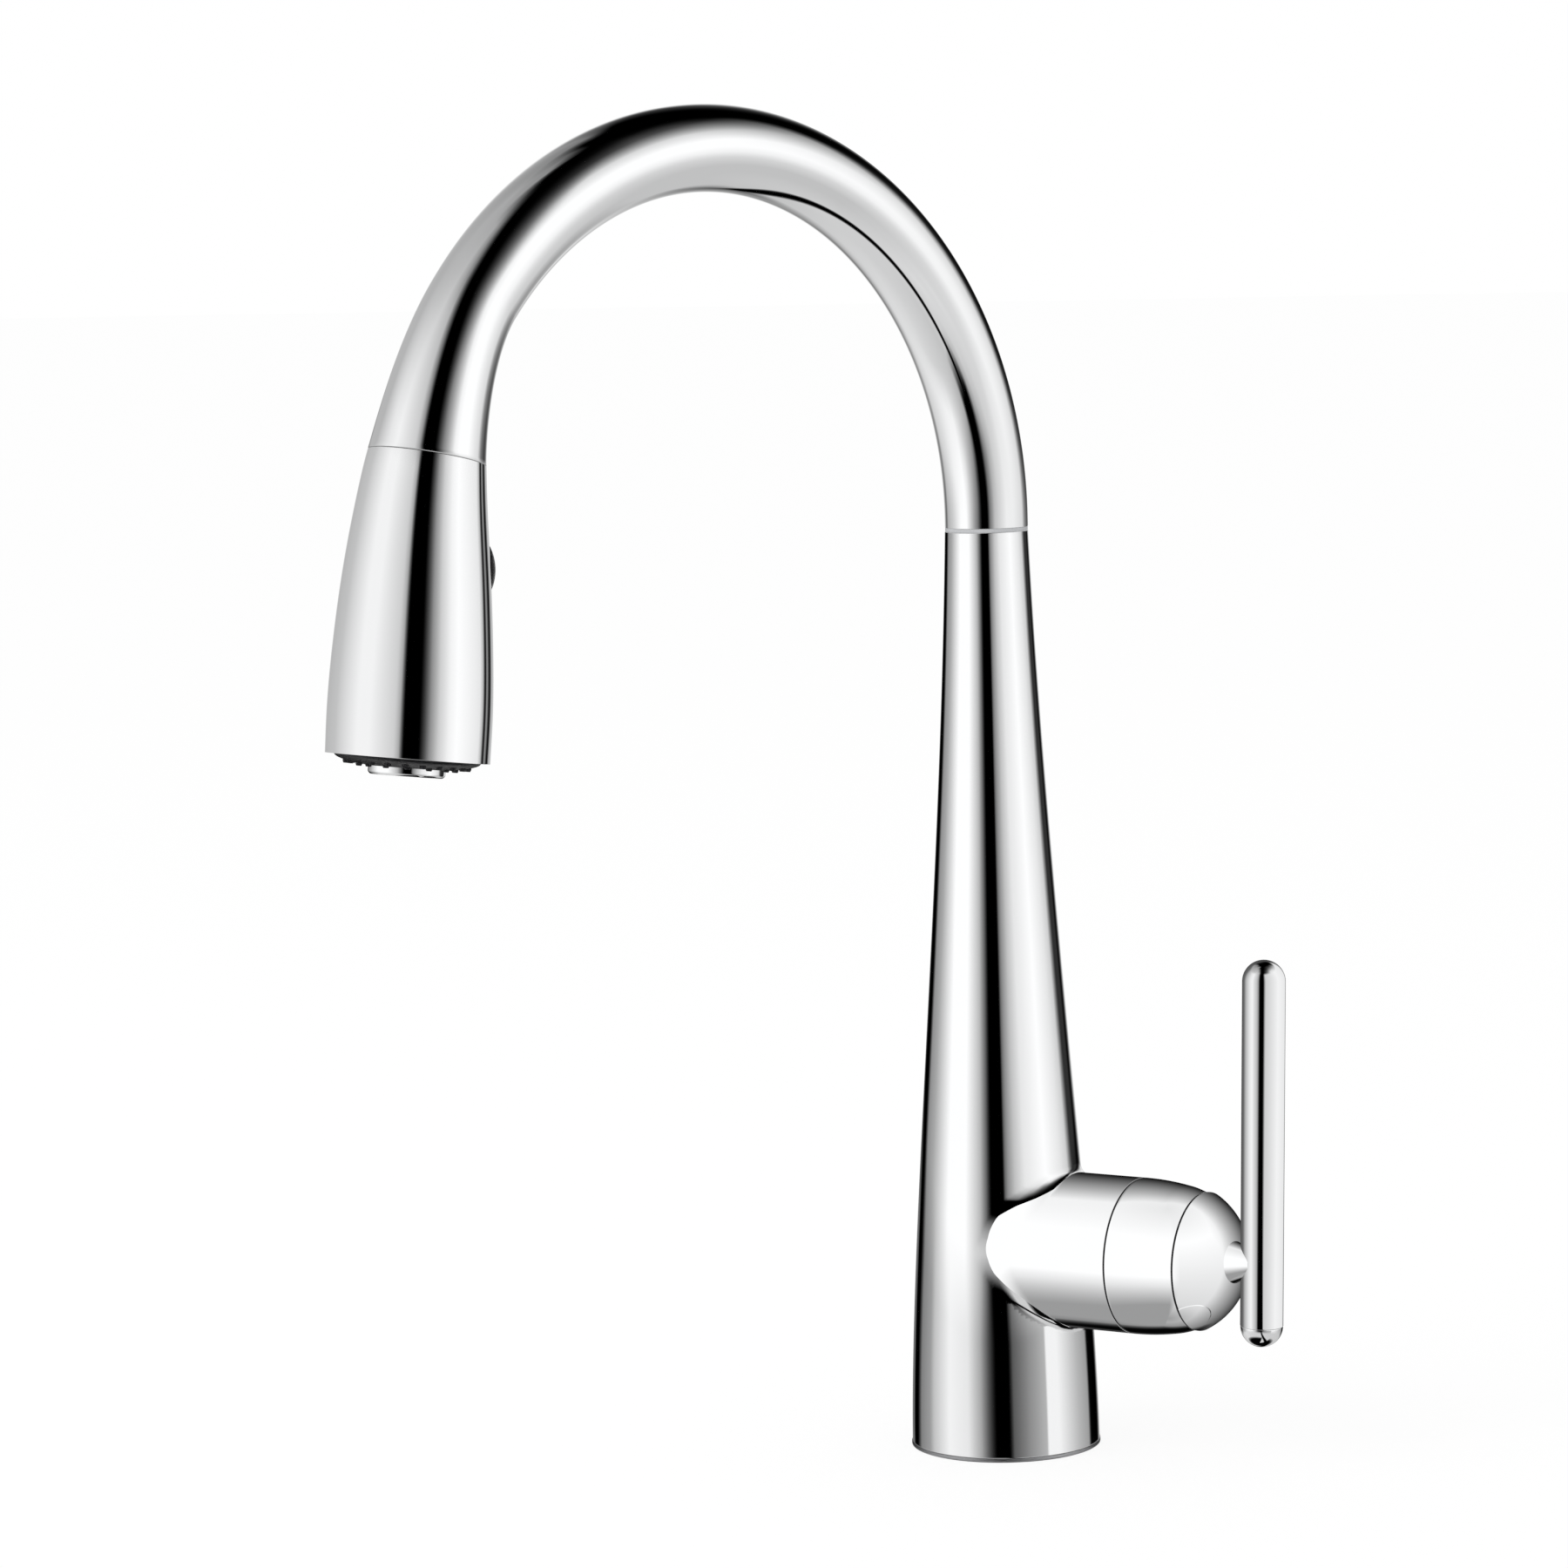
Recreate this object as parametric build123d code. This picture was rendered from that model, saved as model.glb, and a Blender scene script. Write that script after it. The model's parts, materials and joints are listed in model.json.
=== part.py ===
from build123d import *
import os
from math import acos, asin, atan2, cos, degrees, radians, sin, sqrt, tan

# Single-lever pull-down kitchen tap for a 35 mm deck hole.
#
# Millimetres, +Z up. The origin is the centre of the trim ring's underside, so the deck is z = 0.
# The valve hub points along +X and the user stands on the -Y side. The spout is parked 15 degrees
# off the straight-ahead line. Each function makes one or two pieces and returns their solids.

# ---------------------------------------------------------------- column, deck hardware
RING_R = 27.25
RING_T = 1.2
FOOT_R = 27.05
FOOT_BEND = (26.42, 64.0)
NECK_BEND = (15.24, 161.46)
COLUMN_TOP_Z = 263.7
COLUMN_TOP_R = 11.85
COLUMN_WALL = 2.6
FOOT_PLATE_Z = 9.0
SOCKET_Z = 213.0
SOCKET_R = 9.9
SHANK_R = 16.5
SHANK_BORE_R = 14.2
SHANK_END_Z = -62.0
DECK_T = 30.0

# ---------------------------------------------------------------- valve hub, along +X
HUB_Z = 58.2
HUB_R = 22.15
HUB_END_X = 45.1
HUB_BORE_R = 17.6
NUT_THREAD_R = 19.35
NUT_SEAT_X = 36.5
MANIFOLD_X = 12.0
CARTRIDGE_X = 24.0
CARTRIDGE_R = 17.3
CARTRIDGE_NECK_R = 12.0
SHOULDER_X = 50.0
CARTRIDGE_END_X = 57.0
ROTOR_R = 9.5
ROTOR_END_X = 61.0
RUNNING = 0.05

# ---------------------------------------------------------------- handle, tilting about a ball centre
PIVOT_X = 55.0
REST_TILT = 5.5
DOME_R = 22.3
DOME_BORE_R = 21.55
BALL_R = 21.25
BALL_START = 3.5
BALL_TIP_ANGLE = 50.0
BONNET_WALL = 1.5
DOME_RIM = 10.6
LEVER_REACH = 12.0
LEVER_BALL_R = 3.0
LEVER_W = 6.0
LEVER_H = 7.0
LEVER_END_R = 3.5
LEVER_END_Z = 17.5
SCREW_Z = 13.5
SCREW_R = 2.0
PLUG_AZIMUTH = 37.0
PLUG_Z = 9.4
PLUG_R = 6.2
PIN_R = 1.5
BOSS_R = 7.0
BAR_X = 83.6
BAR_R = 6.05
BAR_LEAN = 1.44
BAR_BOTTOM_Z = 35.3
BAR_TOP_Z = 145.0
NECK_ROOT_R = 5.9
NECK_TIP_R = 2.6
NECK_TURN = 6.0
NECK_RISE = 2.8

# ---------------------------------------------------------------- spout
SPOUT_SWING = -15.0
TUBE_R = 11.8
TUBE_BORE_R = 10.65
SEAM_GAP = 0.05
SWIVEL_RING_T = 1.2
ARCH_Z = 267.4
ARCH_R = 105.3
ARCH_SWEEP = 140.0
SPIGOT_R = 8.65
SPIGOT_BORE_R = 6.9
MOUTH = (203.8, 294.5)
MOUTH_TILT = 13.5
MOUTH_R = 15.4

# ---------------------------------------------------------------- spray head
HEAD_FOOT = (213.6, 217.3)
HEAD_TILT = 6.0
FACE_TILT = 8.0
TRIM_ALLOWANCE = 2.0
HEAD_R = (MOUTH_R, 17.0, 19.05, 20.65, 21.4, 21.3)
HEAD_STATION = (0.0, 0.215, 0.45, 0.675, 0.875, 1.0)
HEAD_WALL = 2.0
COLLAR_R = 9.7
COLLAR_H = 13.0
HOSE_R = 5.5
HOSE_SHANK_X = -8.0
FERRULE_R = 7.2
AERATOR_R = 10.0
AERATOR_BORE_R = 8.4
BUTTON_H = 49.0
BUTTON_TURN = 25.0

swing = radians(SPOUT_SWING)
AHEAD = Vector(sin(swing), -cos(swing), 0)
SPOUT_PLANE = Plane(origin=(0, 0, 0), x_dir=AHEAD, z_dir=AHEAD.cross(Vector(0, 0, 1)))


# ---------------------------------------------------------------- helpers
def turned(*outline):
    """A solid of revolution about Z from (radius, height) corners."""
    return revolve(Plane.XZ * make_face(Polyline(*outline, close=True)), Axis.Z)


def tube(outer, inner, low, high):
    """A plain round tube about Z."""
    return turned((inner, low), (outer, low), (outer, high), (inner, high))


def rod(radius, low, high):
    """A plain round bar about Z."""
    return turned((0, low), (radius, low), (radius, high), (0, high))


def hexagon(across_flats, low, high):
    """A hexagonal prism about Z."""
    profile = RegularPolygon(across_flats / 2, 6, major_radius=False)
    return extrude(Plane((0, 0, low)) * profile, high - low)


def o_ring(radius, section, height):
    """A rubber ring about Z."""
    return Location((0, 0, height)) * Torus(radius, section)


def ring_of(shape, count, radius, start=0.0):
    """Copies of a shape round the Z axis."""
    return [Rot(0, 0, start + 360 / count * i) * Pos(radius, 0, 0) * shape for i in range(count)]


def place_on_spout(point, tilt, turn=0.0):
    """A frame in the spout's plane whose Z points back up the axis tilted from the vertical."""
    up = Vector(0, 0, 1) * cos(radians(tilt)) - AHEAD * sin(radians(tilt))
    across = AHEAD * cos(radians(tilt)) + Vector(0, 0, 1) * sin(radians(tilt))
    origin = AHEAD * point[0] + Vector(0, 0, point[1])
    return Location(Plane(origin=origin, x_dir=across, z_dir=up)) * Rot(0, 0, turn)


HUB = Location((0, 0, HUB_Z), (0, 90, 0))
HANDLE = Location((PIVOT_X, 0, HUB_Z), (0, 90 - REST_TILT, 0))
BAR = Location((BAR_X, 0, HUB_Z), (0, BAR_LEAN, 0))
NECK = Location((PIVOT_X, 0, HUB_Z)) * Rot(0, 0, -NECK_TURN) * Rot(0, 90 - NECK_RISE, 0)
DOCK = place_on_spout(MOUTH, MOUTH_TILT)
HEAD = place_on_spout(HEAD_FOOT, HEAD_TILT)
FACE = place_on_spout(HEAD_FOOT, FACE_TILT)
SCREW = HANDLE * Pos(0, 0, SCREW_Z) * Rot(0, 0, -PLUG_AZIMUTH) * Rot(0, 90, 0)
PLUG = HANDLE * Pos(0, 0, PLUG_Z) * Rot(0, 0, -PLUG_AZIMUTH) * Rot(0, 90, 0)
BUTTON = HEAD * Pos(0, 0, BUTTON_H) * Rot(0, 0, 180 - BUTTON_TURN) * Rot(0, 90, 0)
SPOUT_FOOT_Z = COLUMN_TOP_Z + SWIVEL_RING_T + SEAM_GAP


# ---------------------------------------------------------------- column and deck hardware
def column_outline(inset, low, high):
    """The half section of the column, inset from its outside, between two heights."""
    side = Bezier(
        (FOOT_R - inset, 0),
        (FOOT_BEND[0] - inset, FOOT_BEND[1]),
        (NECK_BEND[0] - inset, NECK_BEND[1]),
        (COLUMN_TOP_R - inset, COLUMN_TOP_Z),
    )
    rest = Polyline(side @ 1, (0, COLUMN_TOP_Z), (0, 0), side @ 0)
    band = Pos(RING_R / 2, (low + high) / 2) * Rectangle(2 * RING_R, high - low)
    return Plane.XZ * (make_face([side, rest]) & band)


def body_column():
    """The cast column with its side hub, hollow, bored for the shank, valve and spigot."""
    column = revolve(column_outline(0, RING_T, COLUMN_TOP_Z), Axis.Z)
    hub = HUB * rod(HUB_R, 0, HUB_END_X)
    body = column + hub
    body = fillet(new_edges(column, hub, combined=body), 2.0)
    body -= revolve(column_outline(COLUMN_WALL, FOOT_PLATE_Z, SOCKET_Z - 9), Axis.Z)
    body -= rod(SOCKET_R, SOCKET_Z - 10, COLUMN_TOP_Z + 1)
    body -= rod(SHANK_R, 0, FOOT_PLATE_Z + 1)
    body -= HUB * rod(HUB_BORE_R, 0, NUT_SEAT_X + 1)
    body -= HUB * rod(NUT_THREAD_R, NUT_SEAT_X, HUB_END_X + 1)
    return body


def trim_and_gasket():
    """The trim ring under the column and the rubber seal in its underside."""
    ring = tube(RING_R, SHANK_R + 0.2, 0, RING_T)
    ring = chamfer(ring.edges().filter_by(GeomType.CIRCLE).group_by(Axis.Z)[-1][-1], 0.2)
    groove = tube(24.5, 18.5, 0, 0.8)
    return ring - groove, groove


def shank():
    """The hollow mounting shank that screws into the column's foot."""
    body = tube(SHANK_R, SHANK_BORE_R, SHANK_END_Z, FOOT_PLATE_Z)
    return chamfer(body.edges().group_by(Axis.Z)[0], 0.8)


WASHER_R = 27.0
NUT_ACROSS = 50.0
JACK_R = 2.8
JACK_CIRCLE_R = 20.6


def deck_clamp():
    """Rubber washer, steel washer, nut and two jack screws below a 30 mm deck."""
    rubber = tube(WASHER_R, SHANK_R + 0.5, -DECK_T - 2, -DECK_T)
    steel = tube(WASHER_R, SHANK_R + 0.5, -DECK_T - 4, -DECK_T - 2)
    nut = hexagon(NUT_ACROSS, -DECK_T - 18, -DECK_T - 8)
    nut = nut & turned((0, -60), (28.0, -60), (28.0, -40), (27.0, -38), (0, -38))
    nut -= rod(SHANK_R, -60, -30)
    screw = rod(JACK_R, -DECK_T - 22, -DECK_T - 4) - hexagon(3.0, -DECK_T - 23, -DECK_T - 19)
    for spot in ring_of(rod(JACK_R, -60, -30), 2, JACK_CIRCLE_R):
        nut -= spot
    return rubber, steel, nut, ring_of(screw, 2, JACK_CIRCLE_R)


# ---------------------------------------------------------------- valve
WATER_TUBES = {"hot_inlet": (4.2, 8.2), "cold_inlet": (4.2, -8.2), "outlet": (9.2, 0.0)}
TUBE_OD_R = 4.0
TUBE_ID_R = 3.1
INLET_END_Z = -92.0
OUTLET_BEND_Z = -62.0
OUTLET_BEND_R = 12.0
OUTLET_LEAN = 40.0
BOSS_FLOOR_Z = HUB_Z - 9.0


PORT_R = 2.4
PORT_CIRCLE_R = 6.6
DISC_SEAM_X = CARTRIDGE_X + 8.0
BASE_PORTS = ((90, PORT_CIRCLE_R), (-90, PORT_CIRCLE_R), (0, 0.0))


def valve_manifold():
    """The brass block behind the cartridge that joins the three water tubes to its ports."""
    block = Pos(MANIFOLD_X / 2 + 0.2, 0, HUB_Z) * Box(MANIFOLD_X - 0.4, 26.0, 18.0)
    block = fillet(block.edges().filter_by(Axis.X), 3.0)
    block += HUB * rod(HUB_BORE_R, MANIFOLD_X - 0.2, CARTRIDGE_X)
    for x, y in WATER_TUBES.values():
        block -= Pos(x, y, 0) * rod(TUBE_OD_R, HUB_Z - HUB_R, BOSS_FLOOR_Z + 6)
        block -= Pos(x, y, 0) * rod(TUBE_ID_R, BOSS_FLOOR_Z, HUB_Z + 2)
        block -= Pos(0, y * 0.8, HUB_Z) * Rot(0, 90, 0) * rod(2.6, x, CARTRIDGE_X + 1)
    return block


def water_tube(name, end):
    """One copper tube from the manifold down through the shank."""
    x, y = WATER_TUBES[name]
    return Pos(x, y, 0) * tube(TUBE_OD_R, TUBE_ID_R, end, BOSS_FLOOR_Z + 6)


def outlet_tube():
    """The outlet tube, bent clear of the inlets, ending in a plug-in spigot with a seal groove."""
    x, y = WATER_TUBES["outlet"]
    centre = (x + OUTLET_BEND_R, y, OUTLET_BEND_Z)
    section = Pos(x, y, OUTLET_BEND_Z) * (Circle(TUBE_OD_R) - Circle(TUBE_ID_R))
    bend = revolve(section, Axis(centre, (0, -1, 0)), OUTLET_LEAN)
    end = turned((3.1, -10), (4.4, -10), (4.8, -9), (4.8, -6.5), (4.2, -6.5), (4.2, -4.9),
                 (4.8, -4.9), (4.8, -1), (3.1, -1)) + tube(TUBE_OD_R, TUBE_ID_R, -1, 0)
    end = Location(centre) * Rot(0, -OUTLET_LEAN, 0) * Pos(-OUTLET_BEND_R, 0, 0) * end
    return Pos(x, y, 0) * tube(TUBE_OD_R, TUBE_ID_R, OUTLET_BEND_Z, BOSS_FLOOR_Z + 6) + bend + end


def inlet_fitting(name):
    """The threaded union on the lower end of an inlet tube."""
    x, y = WATER_TUBES[name]
    union = hexagon(13.0, -86, -78) + rod(5.8, -78, -76)
    union += turned((0, -98), (6.0, -98), (6.58, -97.4), (6.58, -87.2), (5.6, -86.6), (5.6, -86), (0, -86))
    union -= rod(TUBE_ID_R, -99, -70)
    return Pos(x, y, 0) * (union - rod(TUBE_OD_R, INLET_END_Z, -70))


def cartridge_shell():
    """The cartridge's plastic housing with its necked end."""
    shell = turned(
        (15.3, CARTRIDGE_X), (CARTRIDGE_R, CARTRIDGE_X), (CARTRIDGE_R, SHOULDER_X),
        (CARTRIDGE_NECK_R, SHOULDER_X), (CARTRIDGE_NECK_R, CARTRIDGE_END_X),
        (ROTOR_R + RUNNING, CARTRIDGE_END_X), (ROTOR_R + RUNNING, SHOULDER_X - 1.5),
        (15.3, SHOULDER_X - 1.5),
    )
    return HUB * shell


def cartridge_base():
    """The ported plate at the back of the cartridge and its three port seals."""
    plate = rod(15.2, CARTRIDGE_X + 0.8, CARTRIDGE_X + 3.5)
    seals = []
    for angle, radius in BASE_PORTS:
        port = Rot(0, 0, angle) * Pos(radius, 0, 0)
        plate -= port * rod(PORT_R, 20, 30)
        seals.append(HUB * port * tube(4.2, 2.7, CARTRIDGE_X, CARTRIDGE_X + 0.8))
    return HUB * plate, seals


def ceramic_discs():
    """The fixed disc with three ports and the moving disc with its mixing pocket."""
    seat = rod(13.0, CARTRIDGE_X + 3.5, DISC_SEAM_X)
    for angle, radius in BASE_PORTS:
        seat -= Rot(0, 0, angle) * Pos(radius, 0, 0) * rod(PORT_R, 20, 40)
    slider = rod(11.0, DISC_SEAM_X + 0.02, CARTRIDGE_X + 12.5)
    pocket = Pos(0, 0, CARTRIDGE_X + 9) * Box(7.0, 15.0, 2.5)
    slider -= fillet(pocket.edges().filter_by(Axis.Z), 3.0)
    return HUB * seat, HUB * Pos(closed_offset(), 0, 0) * slider


def closed_offset():
    """How far the lever's inner ball stands below the hub axis at rest, along the hub frame's X."""
    return LEVER_REACH * sin(radians(REST_TILT))


def disc_carrier():
    """The plastic carrier that the lever pushes, keyed on the moving disc."""
    body = rod(11.5, CARTRIDGE_X + 12.5, CARTRIDGE_X + 21.5)
    body -= rod(LEVER_BALL_R + 0.3, CARTRIDGE_X + 14, CARTRIDGE_X + 22)
    return HUB * Pos(closed_offset(), 0, 0) * body


def cartridge_rotor():
    """The turning part of the cartridge, slotted for the lever, and the lever's pin."""
    body = turned((0, 46.5), (12.0, 46.5), (12.0, 48.4), (ROTOR_R, 48.4), (ROTOR_R, ROTOR_END_X),
                  (0, ROTOR_END_X))
    body -= Pos(0, 0, PIVOT_X) * Box(14.8, LEVER_W + 0.6, 30)
    pin = Pos(0, 0, PIVOT_X) * Rot(90, 0, 0) * rod(PIN_R, -8.8, 8.8)
    return HUB * (body - pin), HUB * pin


def cartridge_nut():
    """The brass ring that screws into the hub and holds the cartridge down."""
    ring = turned(
        (CARTRIDGE_R + 0.05, NUT_SEAT_X + 0.2), (NUT_THREAD_R, NUT_SEAT_X + 0.2),
        (NUT_THREAD_R, 52.6), (18.6, 53.4), (CARTRIDGE_NECK_R + 0.3, 53.4),
        (CARTRIDGE_NECK_R + 0.3, SHOULDER_X), (CARTRIDGE_R + 0.05, SHOULDER_X),
    )
    for notch in ring_of(Box(3.0, 4.0, 3.0), 4, 14.2):
        ring -= Pos(0, 0, 53.4) * notch
    return HUB * ring


def bonnet_ring():
    """The chrome bonnet over the nut, ending in the ball that the handle's dome rides on."""
    start = degrees(asin(BALL_START / BALL_R))
    ball = CenterArc((0, PIVOT_X), BALL_R, start, BALL_TIP_ANGLE - start)
    bore = CenterArc((0, PIVOT_X), BALL_R - BONNET_WALL, BALL_TIP_ANGLE, start - BALL_TIP_ANGLE)
    outline = [
        ThreePointArc((HUB_R, HUB_END_X), (21.83, 52.0), ball @ 0),
        ball,
        Line(ball @ 1, bore @ 0),
        bore,
        Polyline(bore @ 1, (NUT_THREAD_R, 54.0), (NUT_THREAD_R, HUB_END_X), (HUB_R, HUB_END_X)),
    ]
    bonnet = HUB * revolve(Plane.XZ * make_face(outline), Axis.Z)
    return bonnet - SCREW * rod(SCREW_R + 0.4, 12, 20)


# ---------------------------------------------------------------- handle
def lever_stem():
    """The lever: inner ball, neck, flat shank with the pin hole, round end for the dome."""
    lever = Pos(0, 0, -LEVER_REACH) * Sphere(LEVER_BALL_R)
    lever += rod(2.2, -LEVER_REACH, -6.0)
    lever += Pos(0, 0, 0.75) * Box(LEVER_H, LEVER_W, 15.5)
    lever += rod(LEVER_END_R, 8.0, LEVER_END_Z)
    lever -= Rot(90, 0, 0) * rod(PIN_R + RUNNING, -5, 5)
    return HANDLE * lever


def handle_dome():
    """The ball-shaped cap with a boss for the lever, a screw hole and the plug's opening."""
    rim = degrees(asin(BALL_START / DOME_R))
    bore_rim = degrees(asin(BALL_START / DOME_BORE_R))
    boss_root = degrees(acos((BOSS_R + 1.0) / DOME_BORE_R))
    skin = CenterArc((0, 0), DOME_R, rim, 90 - rim)
    bore = CenterArc((0, 0), DOME_BORE_R, boss_root, bore_rim - boss_root)
    outline = [
        skin,
        Polyline(skin @ 1, (0, 9.5), (BOSS_R, 9.5), (BOSS_R, (bore @ 0).Y - 1.0), bore @ 0),
        bore,
        Line(bore @ 1, skin @ 0),
    ]
    dome = HANDLE * revolve(Plane.XZ * make_face(outline), Axis.Z)
    dome -= HANDLE * rod(LEVER_END_R, 9, LEVER_END_Z)
    dome -= SCREW * rod(SCREW_R, 0, 12)
    dome -= PLUG * rod(PLUG_R, 8, 30)
    return dome - HUB * rod(2 * DOME_R, 0, PIVOT_X + DOME_RIM)


def handle_screw():
    """The socket screw that fixes the dome to the lever."""
    low = LEVER_END_R
    return SCREW * (rod(SCREW_R, low, low + 3.4) - hexagon(2.0, low + 1.4, low + 4))


def screw_plug():
    """The round-ended plug in the dome's rim that covers the way to the screw."""
    shell = HANDLE * (Sphere(DOME_R + 0.1) - Sphere(DOME_BORE_R))
    plug = shell & PLUG * rod(PLUG_R - RUNNING, 8, 30)
    plug -= PLUG * Pos(1.9, 0, 0) * rod(0.45, 8, 30)
    return plug - HUB * rod(2 * DOME_R, 0, PIVOT_X + DOME_RIM)


def handle_bar():
    """The straight bar with a round top, its screwed-on round foot and the neck to the dome."""
    low = (BAR_BOTTOM_Z - HUB_Z) / cos(radians(BAR_LEAN))
    high = (BAR_TOP_Z - HUB_Z) / cos(radians(BAR_LEAN))
    seam = low + BAR_R
    bar = rod(BAR_R, seam, high - BAR_R) + Pos(0, 0, high - BAR_R) * Sphere(BAR_R)
    foot = Pos(0, 0, seam) * Sphere(BAR_R - 0.05)
    foot = foot & rod(BAR_R, low - 1, seam)
    root = sqrt(DOME_R ** 2 - NECK_ROOT_R ** 2)
    tip = BAR_X - PIVOT_X
    neck = NECK * turned((0, root), (NECK_ROOT_R, root), (NECK_TIP_R, tip), (0, tip))
    neck = neck - HANDLE * Sphere(DOME_R) - BAR * rod(BAR_R, low, high)
    return BAR * bar, BAR * foot, neck


# ---------------------------------------------------------------- swivel between column and spout
UPPER_BUSH_Z = 250.0
LOWER_BUSH_Z = (221.0, 231.0)
CLIP_Z = 219.0
CLIP_T = 1.3
CLIP_GROOVE = 0.75
O_RING_Z = (236.0, 244.0)
O_RING_SECTION = 0.8
SPIGOT_FOOT_Z = 214.5
SPIGOT_HEAD_Z = 271.0


def swivel_bushes():
    """The upper and lower plastic bushes in the column's bore."""
    upper = tube(SOCKET_R, SPIGOT_R + RUNNING, UPPER_BUSH_Z, COLUMN_TOP_Z)
    lower = tube(SOCKET_R, SPIGOT_R + RUNNING, *LOWER_BUSH_Z)
    return upper, lower


def swivel_ring():
    """The plain bearing ring that shows between the column and the spout."""
    return tube(COLUMN_TOP_R, SPIGOT_R + 0.3, COLUMN_TOP_Z, COLUMN_TOP_Z + SWIVEL_RING_T)


def spout_spigot():
    """The brass spigot brazed into the tube, grooved for its clip and two O-rings."""
    floor = SOCKET_R - RUNNING - 2 * O_RING_SECTION
    spigot = turned(
        (SPIGOT_BORE_R, SPIGOT_FOOT_Z), (SPIGOT_R - 0.6, SPIGOT_FOOT_Z), (SPIGOT_R, SPIGOT_FOOT_Z + 0.6),
        (SPIGOT_R, SPOUT_FOOT_Z), (TUBE_BORE_R, SPOUT_FOOT_Z), (TUBE_BORE_R, ARCH_Z),
        (TUBE_BORE_R - 0.2, ARCH_Z + 0.2), (TUBE_BORE_R - 0.2, SPIGOT_HEAD_Z),
        (SPIGOT_BORE_R, SPIGOT_HEAD_Z),
    )
    spigot -= tube(SPIGOT_R + 1, SPIGOT_R - CLIP_GROOVE, CLIP_Z, CLIP_Z + CLIP_T)
    for height in O_RING_Z:
        spigot -= tube(SPIGOT_R + 1, floor, height - 0.85, height + 0.85)
    return spigot


def spigot_rings():
    """Two friction O-rings on the spigot."""
    return [o_ring(SOCKET_R - RUNNING - O_RING_SECTION, O_RING_SECTION, z) for z in O_RING_Z]


def retaining_clip():
    """The open clip under the lower bush that keeps the spout in the column."""
    clip = tube(SOCKET_R - 0.3, SPIGOT_R - CLIP_GROOVE, CLIP_Z, CLIP_Z + CLIP_T)
    return clip - Pos(9, 0, CLIP_Z) * Box(9, 5, 5)


# ---------------------------------------------------------------- spout
def heading(tilt, length):
    """A step of some length down an axis tilted outwards from the vertical, in the spout's plane."""
    return Vector(sin(radians(tilt)), -cos(radians(tilt))) * length


ARCH_END = Vector(
    ARCH_R * (1 - cos(radians(ARCH_SWEEP))),
    ARCH_Z + ARCH_R * sin(radians(ARCH_SWEEP)),
)
ARCH_TILT = 180 - ARCH_SWEEP
FLARE_PULL = 14.0
FLARE_POWER = 1.5
FLARE_STATIONS = (0.0, 0.12, 0.35, 0.65, 1.0)


def flare_axis():
    """Centreline of the flared end of the spout, from the arch to the mouth."""
    mouth = Vector(*MOUTH)
    pull_in = ARCH_END + heading(ARCH_TILT, FLARE_PULL)
    pull_out = mouth - heading(MOUTH_TILT, FLARE_PULL)
    return SPOUT_PLANE * Bezier(ARCH_END, pull_in, pull_out, mouth)


def head_axis():
    """Centreline of the spray head, from the mouth to its lower rim."""
    mouth = Vector(*MOUTH)
    foot = Vector(*HEAD_FOOT)
    return SPOUT_PLANE * Bezier(
        mouth, mouth + heading(MOUTH_TILT, 16.0), foot - heading(HEAD_TILT, 30.0), foot
    )


def lofted(axis, stations, radii):
    """A round body whose sections stand square to a curve in the spout's plane."""
    sections = []
    for station, radius in zip(stations, radii):
        square = Plane(origin=axis @ station, x_dir=SPOUT_PLANE.z_dir, z_dir=axis % station)
        sections.append(square * Circle(radius))
    return loft(sections)


def arch_body(radius, inset):
    """The solid inside a given offset of the whole spout: riser, arch and flare."""
    riser = Line((0, SPOUT_FOOT_Z), (0, ARCH_Z))
    arch = CenterArc((ARCH_R, ARCH_Z), ARCH_R, 180, -ARCH_SWEEP)
    path = SPOUT_PLANE * (riser + arch)
    round_part = sweep(Plane((0, 0, SPOUT_FOOT_Z)) * Circle(radius), path=path)
    flare = [
        radius + (MOUTH_R - inset - radius) * station ** FLARE_POWER for station in FLARE_STATIONS
    ]
    return round_part + lofted(flare_axis(), FLARE_STATIONS, flare)


def spout_tube(bore):
    """The chromed gooseneck, hollow, cut off square at its mouth."""
    tube_body = arch_body(TUBE_R, 0.0) - bore
    return tube_body - DOCK * rod(30, -4, 0.15)


def dock_insert(bore):
    """The plastic dock in the spout's mouth that the spray head's collar plugs into."""
    return bore & DOCK * tube(MOUTH_R, COLLAR_R + 0.3, 0.6, COLLAR_H + 2)


# ---------------------------------------------------------------- pull-out hose
HOSE_LOW_Z = -78.0
HOSE_SPLIT_Z = 265.0
HOSE_END = 6.0


def pull_hose_lower():
    """The hose from its connector up through the shank and column to the swivel plane."""
    route = [(HOSE_SHANK_X, HOSE_LOW_Z), (HOSE_SHANK_X, 80), (0, 150), (0, HOSE_SPLIT_Z)]
    sway = atan2(-HOSE_SHANK_X, 70)
    bend_r = 0.45 * 70 / tan(sway / 2)
    path = Plane.XZ * FilletPolyline(*route, radius=bend_r)
    return sweep(Plane((HOSE_SHANK_X, 0, HOSE_LOW_Z)) * Circle(HOSE_R), path=path)


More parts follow.
